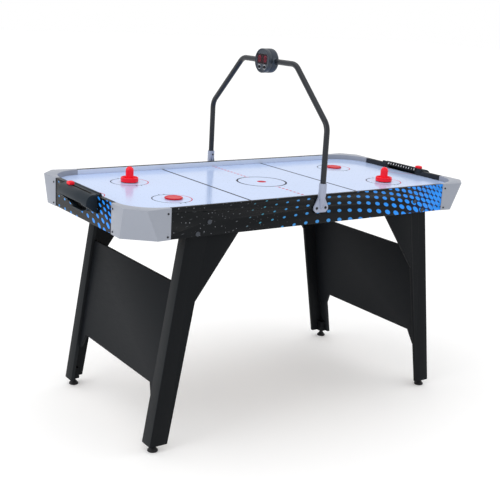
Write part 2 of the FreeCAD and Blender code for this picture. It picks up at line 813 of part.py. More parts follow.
def score_button(y):
    """Push button with a flange that keeps it behind the front plate."""
    flange_x = face_inner_x + button_gap
    tip_x = face_x - button_proud
    cap = round_rim(rod(button_radius, (tip_x, y, button_z), (flange_x, y, button_z)), tip_x, button_round)
    flange = rod(button_radius + button_flange, (flange_x, y, button_z),
                 (flange_x + button_flange_depth, y, button_z))
    return cap.fuse(flange).removeSplitter()


save("scorer_front_shell", front_shell())
save("scorer_rear_shell", rear_shell())
lens = facing_block(lens_x, lens_x + lens_thickness, 0, lens_width, lens_height)
save("scorer_lens", round_along_x(lens, lens_corner))
digits = [facing_block(digit_x, board_front_x, end * digit_pitch / 2, digit_width, digit_height)
          for end in (-1, 1)]
save("scorer_digits", *digits)
board_radius = scorer_radius - scorer_wall - scorer_rim
save("scorer_board", disc(board_radius, board_front_x, board_front_x + circuit_board))
for y, (side, word) in zip(button_ys, FRONTS):
    save("score_button_" + word, score_button(y))


# ---------------------------------------------------------------- legs and end panels
leg_top = plenum_floor_bottom - leg_top_gap


def corner_arc(x, z):
    """Three points of the rounded outer corner of the L at height z, side face first."""
    r = leg_corner_round
    bulge = r * (1 - math.sqrt(0.5))
    return V(x - r, board_y, z), V(x - bulge, board_y - bulge, z), V(x, board_y - r, z)


def half_arc(a, middle, centre_x, z, first):
    """Half of the corner arc, from its side-face end or from its end-face end, to the middle."""
    r = leg_corner_round
    angle = math.radians(67.5 if first else 22.5)
    via = V(centre_x + r * math.cos(angle), board_y - r + r * math.sin(angle), z)
    return Part.Arc(a, via, middle).toShape()


def leg_side_wire(z):
    x = leg_outer(z)
    start, middle, _ = corner_arc(x, z)
    points = [middle, V(x - leg_board, board_y - leg_board, z), V(leg_inner(z), board_y - leg_board, z),
              V(leg_inner(z), board_y, z), start]
    edges = [Part.LineSegment(a, b).toShape() for a, b in zip(points, points[1:])]
    edges.append(half_arc(start, middle, x - leg_corner_round, z, True))
    return Part.Wire(edges)


def leg_end_wire(z):
    x = leg_outer(z)
    _, middle, end = corner_arc(x, z)
    share = (leg_ref_high - z) / (leg_ref_high - leg_ref_low)
    width = leg_end_width_top + (leg_end_width_foot - leg_end_width_top) * share
    edge_y = board_y - width
    points = [middle, V(x - leg_board, board_y - leg_board, z), V(x - leg_board, edge_y, z),
              V(x, edge_y, z), end]
    edges = [Part.LineSegment(a, b).toShape() for a, b in zip(points, points[1:])]
    edges.append(half_arc(end, middle, x - leg_corner_round, z, False))
    return Part.Wire(edges)


def leg_side():
    board = Part.makeLoft([leg_side_wire(leg_bottom), leg_side_wire(leg_top)], True, True)
    return cut_all(board, [leg_bolt_hole(x, z) for x, z in leg_bolt_places()])


def leg_gusset():
    outline = [
        (leg_inner(leg_top), leg_top), (gusset_reach, leg_top), (gusset_reach, apron_bottom),
        (leg_inner(gusset_tip_height), gusset_tip_height),
    ]
    return prism_y(outline, board_y - leg_board, board_y)


def end_panel():
    """Panel behind the two end boards, leaning with them, with an ear down each leg."""
    side_y = board_y - leg_board
    outline = [
        (-side_y, panel_top), (side_y, panel_top), (side_y, panel_ear_bottom),
        (panel_ear_half, panel_ear_bottom), (panel_bottom_half, panel_bottom),
        (-panel_bottom_half, panel_bottom), (-panel_ear_half, panel_ear_bottom),
        (-side_y, panel_ear_bottom),
    ]
    face = Part.Face(polygon([(leg_outer(z) - leg_board, y, z) for y, z in outline]))
    return face.extrude(V(-panel_board, 0, 0))


block_top = leg_bottom + foot_block_height
stud_inset = leg_board + stud_wall + stud_radius
stud_x = leg_outer(leg_bottom) - stud_inset
stud_y = board_y - stud_inset


def foot_block():
    inner_x = leg_outer(leg_bottom) - leg_board - foot_block_side
    outline = [
        (inner_x, leg_bottom), (leg_outer(leg_bottom) - leg_board, leg_bottom),
        (leg_outer(block_top) - leg_board, block_top), (inner_x, block_top),
    ]
    y1 = board_y - leg_board
    block = prism_y(outline, y1 - foot_block_side, y1)
    return block.cut(rod(stud_radius + stud_clearance, (stud_x, stud_y, leg_bottom - over),
                         (stud_x, stud_y, block_top + over)))


def leveller():
    """Foot on its threaded stud."""
    outline = [
        (0, 0), (foot_radius - foot_round, 0), (foot_radius, foot_round), (foot_radius, foot_rim),
        (foot_cone_radius, foot_cone_top), (foot_nut_radius, foot_cone_top + foot_round),
        (foot_nut_radius, foot_nut_top), (stud_radius, foot_nut_top), (stud_radius, stud_top), (0, stud_top),
    ]
    return turned(outline, stud_x, stud_y)


def leg_bolt(x, z):
    bolt = screw((x, half_width, z), (0, 1, 0), leg_bolt_head, leg_bolt_radius,
                 apron_board + leg_board + leg_bolt_tail)
    inner = board_y - leg_board
    corners = [math.radians(degrees) for degrees in range(0, 360, 60)]
    flats = [(x + nut_radius * math.cos(a), inner, z + nut_radius * math.sin(a)) for a in corners]
    nut = Part.Face(polygon(flats)).extrude(V(0, -nut_height, 0))
    hole = rod(leg_bolt_radius + screw_clearance, (x, inner - nut_height - over, z), (x, inner, z))
    return [bolt, nut.cut(hole)]


side_part = leg_side()
end_part = Part.makeLoft([leg_end_wire(leg_bottom), leg_end_wire(leg_top)], True, True)
gusset = leg_gusset()
block = foot_block()
foot_part = leveller()
quarters = [(x, y) for x in (-1, 1) for y in (-1, 1)]
save("leg_gussets", *[mirrored(gusset, x, y) for x, y in quarters])
save("foot_blocks", *[mirrored(block, x, y) for x, y in quarters])
bolts = [part for x, z in leg_bolt_places() for part in leg_bolt(x, z)]
save("leg_bolts", *[mirrored(part, x, y) for x, y in quarters for part in bolts])
for side_y, front in FRONTS:
    for side_x, word in SIDES:
        save("leg_side_" + front + "_" + word, mirrored(side_part, side_x, side_y))
        save("leveller_" + front + "_" + word, mirrored(foot_part, side_x, side_y))
for side, word in SIDES:
    save("leg_ends_" + word, mirrored(end_part, side, 1), mirrored(end_part, side, -1))
    save("end_panel_" + word, mirrored(end_panel(), side, 1))

# ---------------------------------------------------------------- blower under the plenum
blower_top = plenum_floor_bottom
blower_bottom = blower_top - blower_height
motor_base = blower_bottom + blower_wall
motor_top = motor_base + motor_height
impeller_base = motor_top + impeller_gap
shaft_top = motor_top + shaft_length


def upright(radius, z0, z1, x=0.0, y=0.0):
    return rod(radius, (x, y, z0), (x, y, z1))


def blower_housing():
    housing = upright(blower_radius, blower_bottom, blower_top)
    flange = upright(blower_radius + blower_flange, blower_top - blower_flange_thickness, blower_top)
    hollow = upright(blower_radius - blower_wall, motor_base, blower_top)
    housing = housing.fuse(flange).cut(hollow)
    for ring_radius, count in grille_rings:
        for step in range(count):
            angle = 2 * math.pi * step / count
            housing = housing.cut(upright(grille_hole_radius, blower_bottom - over, motor_base + over,
                                          ring_radius * math.cos(angle), ring_radius * math.sin(angle)))
    return housing


def impeller():
    """Backing disc and hub with upright blades set at an angle to the radius."""
    wheel = upright(impeller_radius, impeller_base, impeller_base + impeller_disc)
    wheel = wheel.fuse(upright(impeller_hub_radius, impeller_base, impeller_base + impeller_hub_height))
    outer = impeller_radius - over
    middle = V((blade_inner + outer) / 2, 0, 0)
    for step in range(impeller_blades):
        blade = box(blade_inner, outer, -blade_thickness / 2, blade_thickness / 2,
                    impeller_base, impeller_base + impeller_height)
        blade.rotate(middle, V(0, 0, 1), blade_pitch)
        blade.rotate(V(0, 0, 0), V(0, 0, 1), 360.0 * step / impeller_blades)
        wheel = wheel.fuse(blade)
    return wheel.cut(upright(shaft_radius + shaft_clearance, impeller_base - over, shaft_top + over / 2))


save("blower_housing", blower_housing())
motor = upright(motor_radius, motor_base, motor_top)
save("blower_motor", motor.fuse(upright(shaft_radius, motor_top, shaft_top)))
save("blower_impeller", impeller())

# ---------------------------------------------------------------- power panel on the rear apron
rocker_x = power_x + rocker_offset
jack_x = power_x + jack_offset
power_face_y = half_width + power_plate
jack_face_y = power_face_y + jack_collar
rocker_axis_y = half_width - rocker_sink


def panel_block(x, width, y0, y1, height):
    return box(x - width / 2, x + width / 2, y0, y1,
               power_centre_z - height / 2, power_centre_z + height / 2)


def power_panel():
    plate = panel_block(power_x, power_width, half_width, power_face_y, power_height)
    well = panel_block(rocker_x, rocker_length + 2 * rocker_well_wall, half_width - rocker_well, half_width,
                       rocker_width + 2 * rocker_well_wall)
    barrel = rod(jack_barrel_radius, (jack_x, half_width - jack_barrel_depth, power_centre_z),
                 (jack_x, jack_face_y, power_centre_z))
    well_floor_y = half_width - rocker_well + rocker_well_floor
    space = panel_block(rocker_x, rocker_length + 2 * rocker_gap, well_floor_y, power_face_y + over,
                        rocker_width + 2 * rocker_gap)
    bore = rod(jack_bore_radius, (jack_x, jack_face_y - jack_bore_depth, power_centre_z),
               (jack_x, jack_face_y + over, power_centre_z))
    return cut_all(plate.fuse(well).fuse(barrel), [space, bore]).removeSplitter()


def power_rocker():
    """Rocker with a shallow valley across its face, pressed in on one side."""
    half = rocker_length / 2
    valley = rocker_face - half * math.tan(math.radians(rocker_tilt))
    outline = [
        (rocker_x - half, rocker_axis_y - rocker_back), (rocker_x + half, rocker_axis_y - rocker_back),
        (rocker_x + half, rocker_axis_y + rocker_face), (rocker_x, rocker_axis_y + valley),
        (rocker_x - half, rocker_axis_y + rocker_face),
    ]
    low = power_centre_z - rocker_width / 2
    rocker = prism_z(outline, low, low + rocker_width)
    rocker = rocker.common(upright(half, low, low + rocker_width, rocker_x, rocker_axis_y))
    rocker.rotate(V(rocker_x, rocker_axis_y, power_centre_z), V(0, 0, 1), rocker_tilt)
    return rocker


save("power_panel", power_panel())
save("power_rocker", power_rocker())


# ---------------------------------------------------------------- pushers and pucks
def pusher(x, y):
    """Striker: a ring with a groove inside it and a round-topped knob."""
    base = field_top + air_gap + felt_thickness
    top = field_top + air_gap + pusher_height
    rim = base + pusher_skirt
    groove = base + pusher_dish
    knob = pusher_knob_radius
    dome = top - knob * 0.9
    outline = [
        (0, base), (pusher_radius - 1, base), (pusher_radius, base + 1), (pusher_radius, rim - 1.5),
        (pusher_radius - 1.5, rim), (pusher_radius - 3, rim), (pusher_radius - 5, groove + 1.5),
        (knob + 5, groove), (knob + 1.2, groove + 2.5), (knob, groove + 6), (knob, dome),
    ]
    for degrees in (30, 60):
        angle = math.radians(degrees)
        outline.append((knob * math.cos(angle), dome + (top - dome) * math.sin(angle)))
    outline.append((0, top))
    return turned(outline, x, y)


def puck(x, y):
    """Flat disc with a slightly raised rim."""
    low = field_top + air_gap
    top = low + puck_height
    inner = puck_radius - puck_rim
    outline = [
        (0, low), (puck_radius - puck_round, low), (puck_radius, low + puck_round),
        (puck_radius, top - puck_round), (puck_radius - puck_round, top), (inner, top),
        (inner - puck_round, top - puck_round), (0, top - puck_round),
    ]
    return turned(outline, x, y)


felt_base = field_top + air_gap
for (x, y), (side, word) in zip(pusher_spots, SIDES):
    save("pusher_" + word, pusher(x, y))
    felt = rod(pusher_radius - felt_inset, (x, y, felt_base), (x, y, felt_base + felt_thickness))
    save("pusher_felt_" + word, felt)
for (x, y), (side, word) in zip(puck_spots, SIDES):
    save("puck_" + word, puck(x, y))
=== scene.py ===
# %% [markdown]
# # A 54-inch air hockey table
# The table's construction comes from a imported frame: every board, shell and screw is already in its
# real place, in metres, with +X along the table and +Z up. This lesson gives it its looks. First
# come the camera and the light, then a small kit for mixing finishes and shaping pieces, then the
# finishes one by one, and at last the pieces that need a finer shape than the frame's.

# %% Load the frame
import json
import math

import bmesh
import bpy
from mathutils import Matrix, Vector

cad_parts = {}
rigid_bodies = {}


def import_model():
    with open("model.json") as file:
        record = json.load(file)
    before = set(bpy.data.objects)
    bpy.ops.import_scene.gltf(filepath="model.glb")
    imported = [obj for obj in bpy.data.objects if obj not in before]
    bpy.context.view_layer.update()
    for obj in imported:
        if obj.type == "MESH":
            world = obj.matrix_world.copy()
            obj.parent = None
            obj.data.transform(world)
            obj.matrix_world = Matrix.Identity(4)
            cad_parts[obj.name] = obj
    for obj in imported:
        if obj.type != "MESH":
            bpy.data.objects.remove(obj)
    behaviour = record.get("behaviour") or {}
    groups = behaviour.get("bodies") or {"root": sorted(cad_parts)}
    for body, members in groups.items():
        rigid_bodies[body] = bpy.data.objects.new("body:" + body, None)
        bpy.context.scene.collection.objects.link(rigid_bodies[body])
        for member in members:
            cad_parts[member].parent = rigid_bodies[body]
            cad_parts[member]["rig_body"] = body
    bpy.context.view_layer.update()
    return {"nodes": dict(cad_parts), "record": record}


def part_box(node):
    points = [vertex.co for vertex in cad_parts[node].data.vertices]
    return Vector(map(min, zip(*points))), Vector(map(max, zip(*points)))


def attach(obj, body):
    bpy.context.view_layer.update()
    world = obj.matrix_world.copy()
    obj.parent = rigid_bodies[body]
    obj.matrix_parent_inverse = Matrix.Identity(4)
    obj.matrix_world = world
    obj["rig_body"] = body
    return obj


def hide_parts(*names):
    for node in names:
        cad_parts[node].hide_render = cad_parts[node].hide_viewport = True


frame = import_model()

MM = 0.001
RECORD = frame["record"]
SLOT_OF = {part["node"]: part["material_slot"] for part in RECORD["subparts"]}

# %% [markdown]
# ## Camera
# The camera stands to the front left of the table at shoulder height and looks a little down. Its
# place is a point, and its direction is three angles: yaw round the vertical, pitch below the
# horizon, and a small roll. A matrix of right, up and back vectors turns those into a rotation
# without any constraint, so other views can move the camera freely.

# %% Camera
CAMERA_PLACE = Vector((-1.8918, -2.6369, 1.3760))
CAMERA_YAW, CAMERA_PITCH, CAMERA_ROLL = (math.radians(a) for a in (35.1655, -14.826, 3.1294))
CAMERA_LENS = 66.99

forward = Vector((math.sin(CAMERA_YAW) * math.cos(CAMERA_PITCH),
                  math.cos(CAMERA_YAW) * math.cos(CAMERA_PITCH), math.sin(CAMERA_PITCH)))
level = Vector((math.cos(CAMERA_YAW), -math.sin(CAMERA_YAW), 0))
upright = level.cross(forward)
right = math.cos(CAMERA_ROLL) * level + math.sin(CAMERA_ROLL) * upright
up = math.cos(CAMERA_ROLL) * upright - math.sin(CAMERA_ROLL) * level

camera = bpy.data.objects.new("camera", bpy.data.cameras.new("camera"))
bpy.context.scene.collection.objects.link(camera)
camera.data.lens = CAMERA_LENS
turn = Matrix((right, up, -forward)).transposed()
camera.matrix_world = Matrix.Translation(CAMERA_PLACE) @ turn.to_4x4()
bpy.context.scene.camera = camera
print("camera looks along", forward)

# %% [markdown]
# ## Light and floor
# A glossy table top shows whatever is above it, so the light is a small studio: one large soft box
# overhead, and one at the left end that makes the end faces brighter than the front ones. A white
# world fills the shadows. The floor could be a curved backdrop, but the camera looks down far
# enough for a flat sheet, which is made in the last step. The standard view transform keeps the
# printed blue and the red plastic as bright as they are mixed.

# %% Light and floor
bpy.context.scene.view_settings.view_transform = "Standard"
WORLD_GREY, WORLD_STRENGTH = 1.0, 1.0


def soft_box(name, place, aim, width, height, watts):
    """An area light at a place, turned to face a point."""
    lamp = bpy.data.lights.new(name, "AREA")
    lamp.shape = "RECTANGLE"
    lamp.size = width
    lamp.size_y = height
    lamp.energy = watts
    holder = bpy.data.objects.new(name, lamp)
    bpy.context.scene.collection.objects.link(holder)
    holder.location = place
    holder.rotation_euler = (Vector(aim) - Vector(place)).to_track_quat("-Z", "Y").to_euler()


soft_box("overhead_box", (-0.5, 0.2, 3.4), (0, 0, 0.8), 3.0, 2.4, 14)
soft_box("end_box", (-3.8, -0.4, 1.7), (0, 0, 0.6), 1.8, 1.8, 20)

world = bpy.data.worlds.new("pale_room")
world.use_nodes = True
background = world.node_tree.nodes["Background"]
background.inputs["Color"].default_value = (WORLD_GREY,) * 3 + (1,)
background.inputs["Strength"].default_value = WORLD_STRENGTH
bpy.context.scene.world = world

# %% [markdown]
# ## A kit for mixing finishes
# A finish is a node tree, and most patterns on this table are sums on the place of a point: how far
# it is from a circle's centre, or which cell of a dot screen it is in. Typing such a sum as nodes
# takes many lines, so a Wire stands for a node's output and knows plus, minus, times and divide.
# Every pattern then reads as the formula that it is. What is the same all over a surface stays a
# plain number on the shader's own socket.

# %% Wires and finishes
class Wire:
    """A node's output that can be used in a sum, as in (x - 1.0) * 2.0."""

    def __init__(self, finish, socket):
        self.finish = finish
        self.socket = socket

    def __add__(self, other):
        return self.finish.math("ADD", self, other)

    def __sub__(self, other):
        return self.finish.math("SUBTRACT", self, other)

    def __rsub__(self, other):
        return self.finish.math("SUBTRACT", other, self)

    def __mul__(self, other):
        return self.finish.math("MULTIPLY", self, other)

    def __truediv__(self, other):
        return self.finish.math("DIVIDE", self, other)

    def __abs__(self):
        return self.finish.math("ABSOLUTE", self)

    __radd__ = __add__
    __rmul__ = __mul__


class Finish:
    """One material, with short names for the nodes that the lesson uses."""

    def __init__(self, name, colour, roughness, **settings):
        self.material = bpy.data.materials.new(name)
        self.material.use_nodes = True
        self.tree = self.material.node_tree
        self.shader = self.tree.nodes["Principled BSDF"]
        self.set("Base Color", (*colour, 1.0))
        self.set("Roughness", roughness)
        for socket, value in settings.items():
            self.set(socket.replace("_", " "), value)

    def set(self, socket, value):
        """Put a number, a colour or a wire on one of the shader's sockets."""
        self.feed(self.shader.inputs[socket], value)

    def feed(self, socket, value):
        if isinstance(value, Wire):
            self.tree.links.new(value.socket, socket)
        elif value is not None:
            socket.default_value = value

    def wired(self, socket):
        """The wire that already feeds one of the shader's sockets."""
        return Wire(self, self.shader.inputs[socket].links[0].from_socket)

    def node(self, kind, inputs=(), **properties):
        made = self.tree.nodes.new("ShaderNode" + kind)
        for name, value in properties.items():
            setattr(made, name, value)
        for key, value in dict(inputs).items():
            self.feed(made.inputs[key], value)
        return made

    def math(self, operation, *values, clamp=False):
        made = self.node("Math", dict(enumerate(values)), operation=operation, use_clamp=clamp)
        return Wire(self, made.outputs[0])

    def place(self):
        """The point's own place in the frame, as a vector."""
        return Wire(self, self.node("TexCoord").outputs["Object"])

    def split(self, vector):
        made = self.node("SeparateXYZ", {0: vector})
        return [Wire(self, made.outputs[i]) for i in range(3)]

    def join(self, x, y, z):
        made = self.node("CombineXYZ", {0: x, 1: y, 2: z})
        return Wire(self, made.outputs[0])

    def stretch(self, vector, scale):
        made = self.node("VectorMath", {0: vector, 1: scale}, operation="MULTIPLY")
        return Wire(self, made.outputs[0])

    def distance(self, vector, centre):
        made = self.node("VectorMath", {0: vector, 1: centre}, operation="DISTANCE")
        return Wire(self, made.outputs["Value"])

    def noise(self, vector, scale, detail=2.0, roughness=0.5):
        inputs = {"Vector": vector, "Scale": scale, "Detail": detail, "Roughness": roughness}
        return Wire(self, self.node("TexNoise", inputs).outputs["Fac"])

    def below(self, value, edge, blur):
        """1 where value is under edge, 0 where it is over, with a soft change blur wide."""
        return self.math("MULTIPLY_ADD", edge - value, 1.0 / blur, 0.5, clamp=True)

    def ranged(self, value, low, high, out_low, out_high):
        inputs = {0: value, 1: low, 2: high, 3: out_low, 4: out_high}
        return Wire(self, self.node("MapRange", inputs).outputs[0])

    def mix(self, share, first, second):
        made = self.node("Mix", {0: share, 6: rgba(first), 7: rgba(second)}, data_type="RGBA")
        return Wire(self, made.outputs[2])

    def bump(self, height, depth):
        """Raise the surface by height times depth, in metres."""
        made = self.node("Bump", {"Height": height, "Distance": depth, "Strength": 1.0})
        self.tree.links.new(made.outputs[0], self.shader.inputs["Normal"])


def rgba(colour):
    return colour if isinstance(colour, Wire) else (*colour, 1.0)


def shade(colour, factor):
    return tuple(channel * factor for channel in colour)


# %% [markdown]
# ## Moulded plastic and coated metal
# The caps, hoods, brackets, scorer and pushers are moulded, and the arch is powder coated. All of
# these are one even colour whose life is in small things: a fine grain from the mould, a gloss that
# changes a little where hands have been, and a colour that is not quite the same everywhere. One
# function mixes them all, and each finish chooses how coarse and how deep its grain is.

# %% Moulded finishes
CLOUD_SCALE, DRIFT_SCALE = 9.0, 5.0      # clouds of gloss and of shade, in cells per metre
NOISE_LOW, NOISE_HIGH = 0.3, 0.7         # where nearly all values of a noise lie


def moulded(name, colour, roughness, grain_mm, depth_mm, haze=0.08, tint=0.05, **settings):
    """An even finish with a fine grain, cloudy gloss and a slight change of shade."""
    finish = Finish(name, colour, roughness, **settings)
    place = finish.place()
    cloud = finish.noise(place, CLOUD_SCALE, 3.0)
    finish.set("Roughness", finish.ranged(cloud, NOISE_LOW, NOISE_HIGH, roughness - haze, roughness + haze))
    drift = finish.noise(place, DRIFT_SCALE)
    finish.set("Base Color", finish.mix(drift, shade(colour, 1.0 - tint), shade(colour, 1.0 + tint)))
    grain = finish.noise(place, 1.0 / (grain_mm * MM))
    finish.bump(grain, depth_mm * MM)
    return finish


BOARD_GLARE, MATT_GLARE, SATIN_GLARE = 0.05, 0.12, 0.30      # specular levels; 0.5 is usual
cap_grey = moulded("cap_grey", (0.290, 0.312, 0.365), 0.36, 0.9, 0.020, Specular_IOR_Level=SATIN_GLARE)
bracket_grey = moulded("bracket_grey", (0.310, 0.345, 0.450), 0.38, 0.8, 0.020,
                       Specular_IOR_Level=SATIN_GLARE)
scorer_grey = moulded("scorer_grey", (0.034, 0.044, 0.060), 0.34, 0.7, 0.020,
                      Specular_IOR_Level=SATIN_GLARE)
button_black = moulded("button_black", (0.006, 0.006, 0.008), 0.50, 0.6, 0.010,
                       Specular_IOR_Level=MATT_GLARE)
tube_black = moulded("tube_black", (0.007, 0.010, 0.015), 0.24, 0.5, 0.030, Specular_IOR_Level=0.4)
rail_white = moulded("rail_white", (0.56, 0.63, 0.76), 0.20, 2.5, 0.004, haze=0.05, tint=0.02)
rail_dark = moulded("rail_dark", (0.020, 0.024, 0.031), 0.42, 0.9, 0.015, Specular_IOR_Level=MATT_GLARE)
foot_black = moulded("foot_black", (0.008, 0.008, 0.010), 0.45, 0.9, 0.030, Specular_IOR_Level=SATIN_GLARE)
strip_black = moulded("strip_black", (0.003, 0.003, 0.004), 0.22, 1.5, 0.004, Specular_IOR_Level=MATT_GLARE)
vent_black = moulded("vent_black", (0.012, 0.012, 0.014), 0.50, 0.8, 0.030, Specular_IOR_Level=SATIN_GLARE)
red_plastic = moulded("red_plastic", (0.90, 0.012, 0.030), 0.30, 1.8, 0.006, tint=0.03,
                      Specular_IOR_Level=0.22)
puck_red = moulded("puck_red", (0.60, 0.010, 0.024), 0.34, 1.8, 0.006, tint=0.03, Specular_IOR_Level=0.10)
print("moulded finishes ready")

# %% [markdown]
# ## The slider's channel
# On top of each hood the slider runs in a matt black channel, a little wider than its slot. It is
# part of the hood's own finish: wherever a point is on the top plate and within the channel's
# width and length, the colour falls to black and the gloss goes.

# %% The slider's channel
CHANNEL_HALF_WIDTH, CHANNEL_OVER, CHANNEL_EDGE = 5.2 * MM, 2.0 * MM, 0.3 * MM
CHANNEL_BLACK, CHANNEL_ROUGHNESS = (0.002, 0.002, 0.002), 0.60
HOOD_BLACK, HOOD_ROUGHNESS = (0.013, 0.020, 0.028), 0.44


def channelled_hood():
    finish = moulded("hood_with_channel", HOOD_BLACK, HOOD_ROUGHNESS, 0.8, 0.025,
                     Specular_IOR_Level=MATT_GLARE)
    low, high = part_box("score_slider_right")
    slot_x, slot_end = (low.x + high.x) / 2, max(abs(low.y), abs(high.y)) + CHANNEL_OVER
    x, y, z = finish.split(finish.place())
    across = finish.below(abs(abs(x) - slot_x), CHANNEL_HALF_WIDTH, CHANNEL_EDGE)
    along = finish.below(abs(y), slot_end, CHANNEL_EDGE)
    on_top = finish.below(low.z - 2 * MM - z, 0.0, 1 * MM)
    inside = across * along * on_top
    finish.set("Base Color", finish.mix(inside, finish.wired("Base Color"), CHANNEL_BLACK))
    gloss_lost = inside * (CHANNEL_ROUGHNESS - HOOD_ROUGHNESS)
    finish.set("Roughness", finish.wired("Roughness") + gloss_lost)
    return finish


hood_with_channel = channelled_hood()

# %% [markdown]
# ## Metal
# Screws, bolts and the motor are metal. Turned and rolled metal has fine lines round its axis, but
# these heads are only millimetres wide, so a fine uneven grain reads the same and follows any
# direction they point in.

# %% Metal finishes
dark_screw = moulded("dark_screw", (0.020, 0.020, 0.024), 0.35, 0.4, 0.020, Metallic=0.6)
# painted shade: near-black for the shade inside the cross recess of a screw head
recess_painted_shade = moulded("recess_painted_shade", (0.002, 0.002, 0.002), 0.60, 0.4, 0.020,
                       Specular_IOR_Level=MATT_GLARE)
bolt_zinc = moulded("bolt_zinc", (0.060, 0.066, 0.078), 0.24, 0.5, 0.015, Metallic=1.0)
motor_steel = moulded("motor_steel", (0.45, 0.45, 0.46), 0.35, 0.8, 0.020, Metallic=1.0)
print("metal finishes ready")

# %% [markdown]
# ## Boards
# The legs and panels are fibreboard wrapped in a charcoal laminate with a faint grain along the
# board. The grain is noise stretched along one direction: a long, thin cell looks like a fibre. The
# hidden battens are bare fibreboard, and the plenum floor is brown hardboard, both speckled by the
# short fibres that they are pressed from.

# %% Board finishes
def laminate(name, colour, roughness, along):
    """Charcoal laminate with a fine grain that runs along one axis."""
    finish = Finish(name, colour, roughness, Specular_IOR_Level=BOARD_GLARE)
    place = finish.place()
    grain = finish.noise(finish.stretch(place, along), 1.0, 4.0, 0.6)
    finish.set("Base Color", finish.mix(grain, shade(colour, 0.78), shade(colour, 1.25)))
    finish.set("Roughness", finish.ranged(grain, NOISE_LOW, NOISE_HIGH, roughness - 0.06, roughness + 0.06))
    finish.bump(grain, 0.03 * MM)
    return finish


def fibreboard(name, colour, fleck_mm):
    finish = Finish(name, colour, 0.85)
    place = finish.place()
    fleck = finish.noise(place, 1.0 / (fleck_mm * MM), 4.0, 0.7)
    finish.set("Base Color", finish.mix(fleck, shade(colour, 0.7), shade(colour, 1.3)))
    finish.bump(fleck, 0.08 * MM)
    return finish


BARE_BOARD, EDGE_BLACK = (0.42, 0.30, 0.18), (0.006, 0.006, 0.007)
FLECK_MM = 1.6
leg_grain = (600.0, 600.0, 30.0)         # cells per metre along X, Y and Z
panel_grain = (600.0, 30.0, 600.0)
leg_charcoal = laminate("leg_charcoal", (0.0078, 0.0088, 0.0102), 0.42, leg_grain)
# painted light: the end boards are the same laminate as the sides, in a lighter copy for their lit faces
leg_end_painted_light = laminate("leg_end_painted_light", (0.0150, 0.0168, 0.0190), 0.42, leg_grain)
panel_charcoal = laminate("panel_charcoal", (0.0092, 0.0106, 0.0128), 0.45, panel_grain)
raw_fibreboard = fibreboard("raw_fibreboard", BARE_BOARD, FLECK_MM)
hardboard = fibreboard("hardboard", (0.19, 0.11, 0.06), 1.1)
black_edge = moulded("black_edge", EDGE_BLACK, 0.45, 1.0, 0.020, Specular_IOR_Level=MATT_GLARE)
print("board finishes ready")

# %% [markdown]
# ## Inside of the aprons
# The inner faces are bare board, except for the last millimetres under the rim, which the edging
# wraps round. Where the rail strips end, that black line shows above the white.

# %% Inside of the aprons
RAIL_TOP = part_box("side_apron_front")[1].z
EDGING_WRAP = 3.0 * MM


def apron_inside_finish():
    """Bare board with black edging down to a few millimetres below the rim."""
    finish = Finish("apron_inside", BARE_BOARD, 0.8, Specular_IOR_Level=MATT_GLARE)
    place = finish.place()
    fleck = finish.noise(place, 1.0 / (FLECK_MM * MM), 4.0, 0.7)
    bare = finish.mix(fleck, shade(BARE_BOARD, 0.7), shade(BARE_BOARD, 1.3))
    height = finish.split(place)[2]
    wrapped = finish.below(RAIL_TOP - EDGING_WRAP - height, 0.0, 0.2 * MM)
    finish.set("Base Color", finish.mix(wrapped, bare, EDGE_BLACK))
    finish.bump(fleck, 0.08 * MM)
    return finish


apron_inside = apron_inside_finish()
print("edging wraps down to z", round(RAIL_TOP - EDGING_WRAP, 4))

# %% [markdown]
# ## Small finishes
# The felt under a pusher is short fibres, and the circuit board is green lacquer. The lit segments
# of the display give off light of their own. The window in front of them is tinted plastic that
# passes light; a low index of refraction stands for a sheet too thin to bend it much.

# %% Small finishes
felt = fibreboard("felt_black", (0.020, 0.020, 0.024), 0.35)
circuit_green = moulded("circuit_green", (0.02, 0.14, 0.05), 0.35, 0.8, 0.010)
segment_lit = moulded("segment_lit", (0.60, 0.01, 0.04), 0.40, 0.6, 0.004,
                      Emission_Color=(1.0, 0.05, 0.20, 1.0), Emission_Strength=1.15)
segment_dark = moulded("segment_dark", (0.030, 0.008, 0.010), 0.40, 0.6, 0.005,
                       Specular_IOR_Level=MATT_GLARE)
white_ink = moulded("white_ink", (0.80, 0.82, 0.84), 0.45, 0.8, 0.004)
grey_ink = moulded("grey_ink", (0.40, 0.41, 0.44), 0.45, 0.8, 0.004)
window_red = moulded("window_red", (0.27, 0.09, 0.15), 0.07, 2.0, 0.002, haze=0.02,
                     Transmission_Weight=0.96, IOR=1.2)

# %% [markdown]
# ## The playing surface
# The top is a white laminate with a blue cast under a hard gloss, printed with the markings of a
# rink and drilled with a grid of small air holes. The print could be a painted image, but each mark
# is a circle or a line with a known place, so the sums below draw them at any size without blur.
# Both halves of the rink are alike, so the sums use the distance from each centre line. The ink is
# less glossy than the laminate, which keeps the lines dark when they are seen at a low angle. A hole
# is dark because it is deep, so its dark colour is painted shade, and each one is also pressed into
# the surface by the bump.

# %% Playing surface
FIELD_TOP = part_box("playfield")[1].z
FIELD_WHITE = (0.470, 0.585, 0.850)
NAVY = (0.004, 0.006, 0.022)
INK_RED = (0.52, 0.008, 0.035)
HOLE_SHADE = (0.05, 0.05, 0.07)
ZONE_LINE, ZONE_WIDTH = 0.221, 0.0082
CENTRE_RING, CENTRE_RING_WIDTH, CENTRE_SPOT = 0.087, 0.0066, 0.0165
FACE_OFF = (0.447, 0.145)
FACE_OFF_RING, FACE_OFF_WIDTH = 0.0635, 0.0036
CREASE_RING, CREASE_WIDTH = 0.058, 0.0030
DASH_PITCH, DASH_LENGTH, DASH_WIDTH = 0.0215, 0.0110, 0.0084
HASH_OFFSET, HASH_LENGTH = 0.009, 0.010
HOLE_PITCH, HOLE_RADIUS, HOLE_BLUR = 0.0254, 0.0007, 0.0003
INK_BLUR, INK_MATTNESS = 0.0006, 0.45
FIELD_GLARE = 0.22


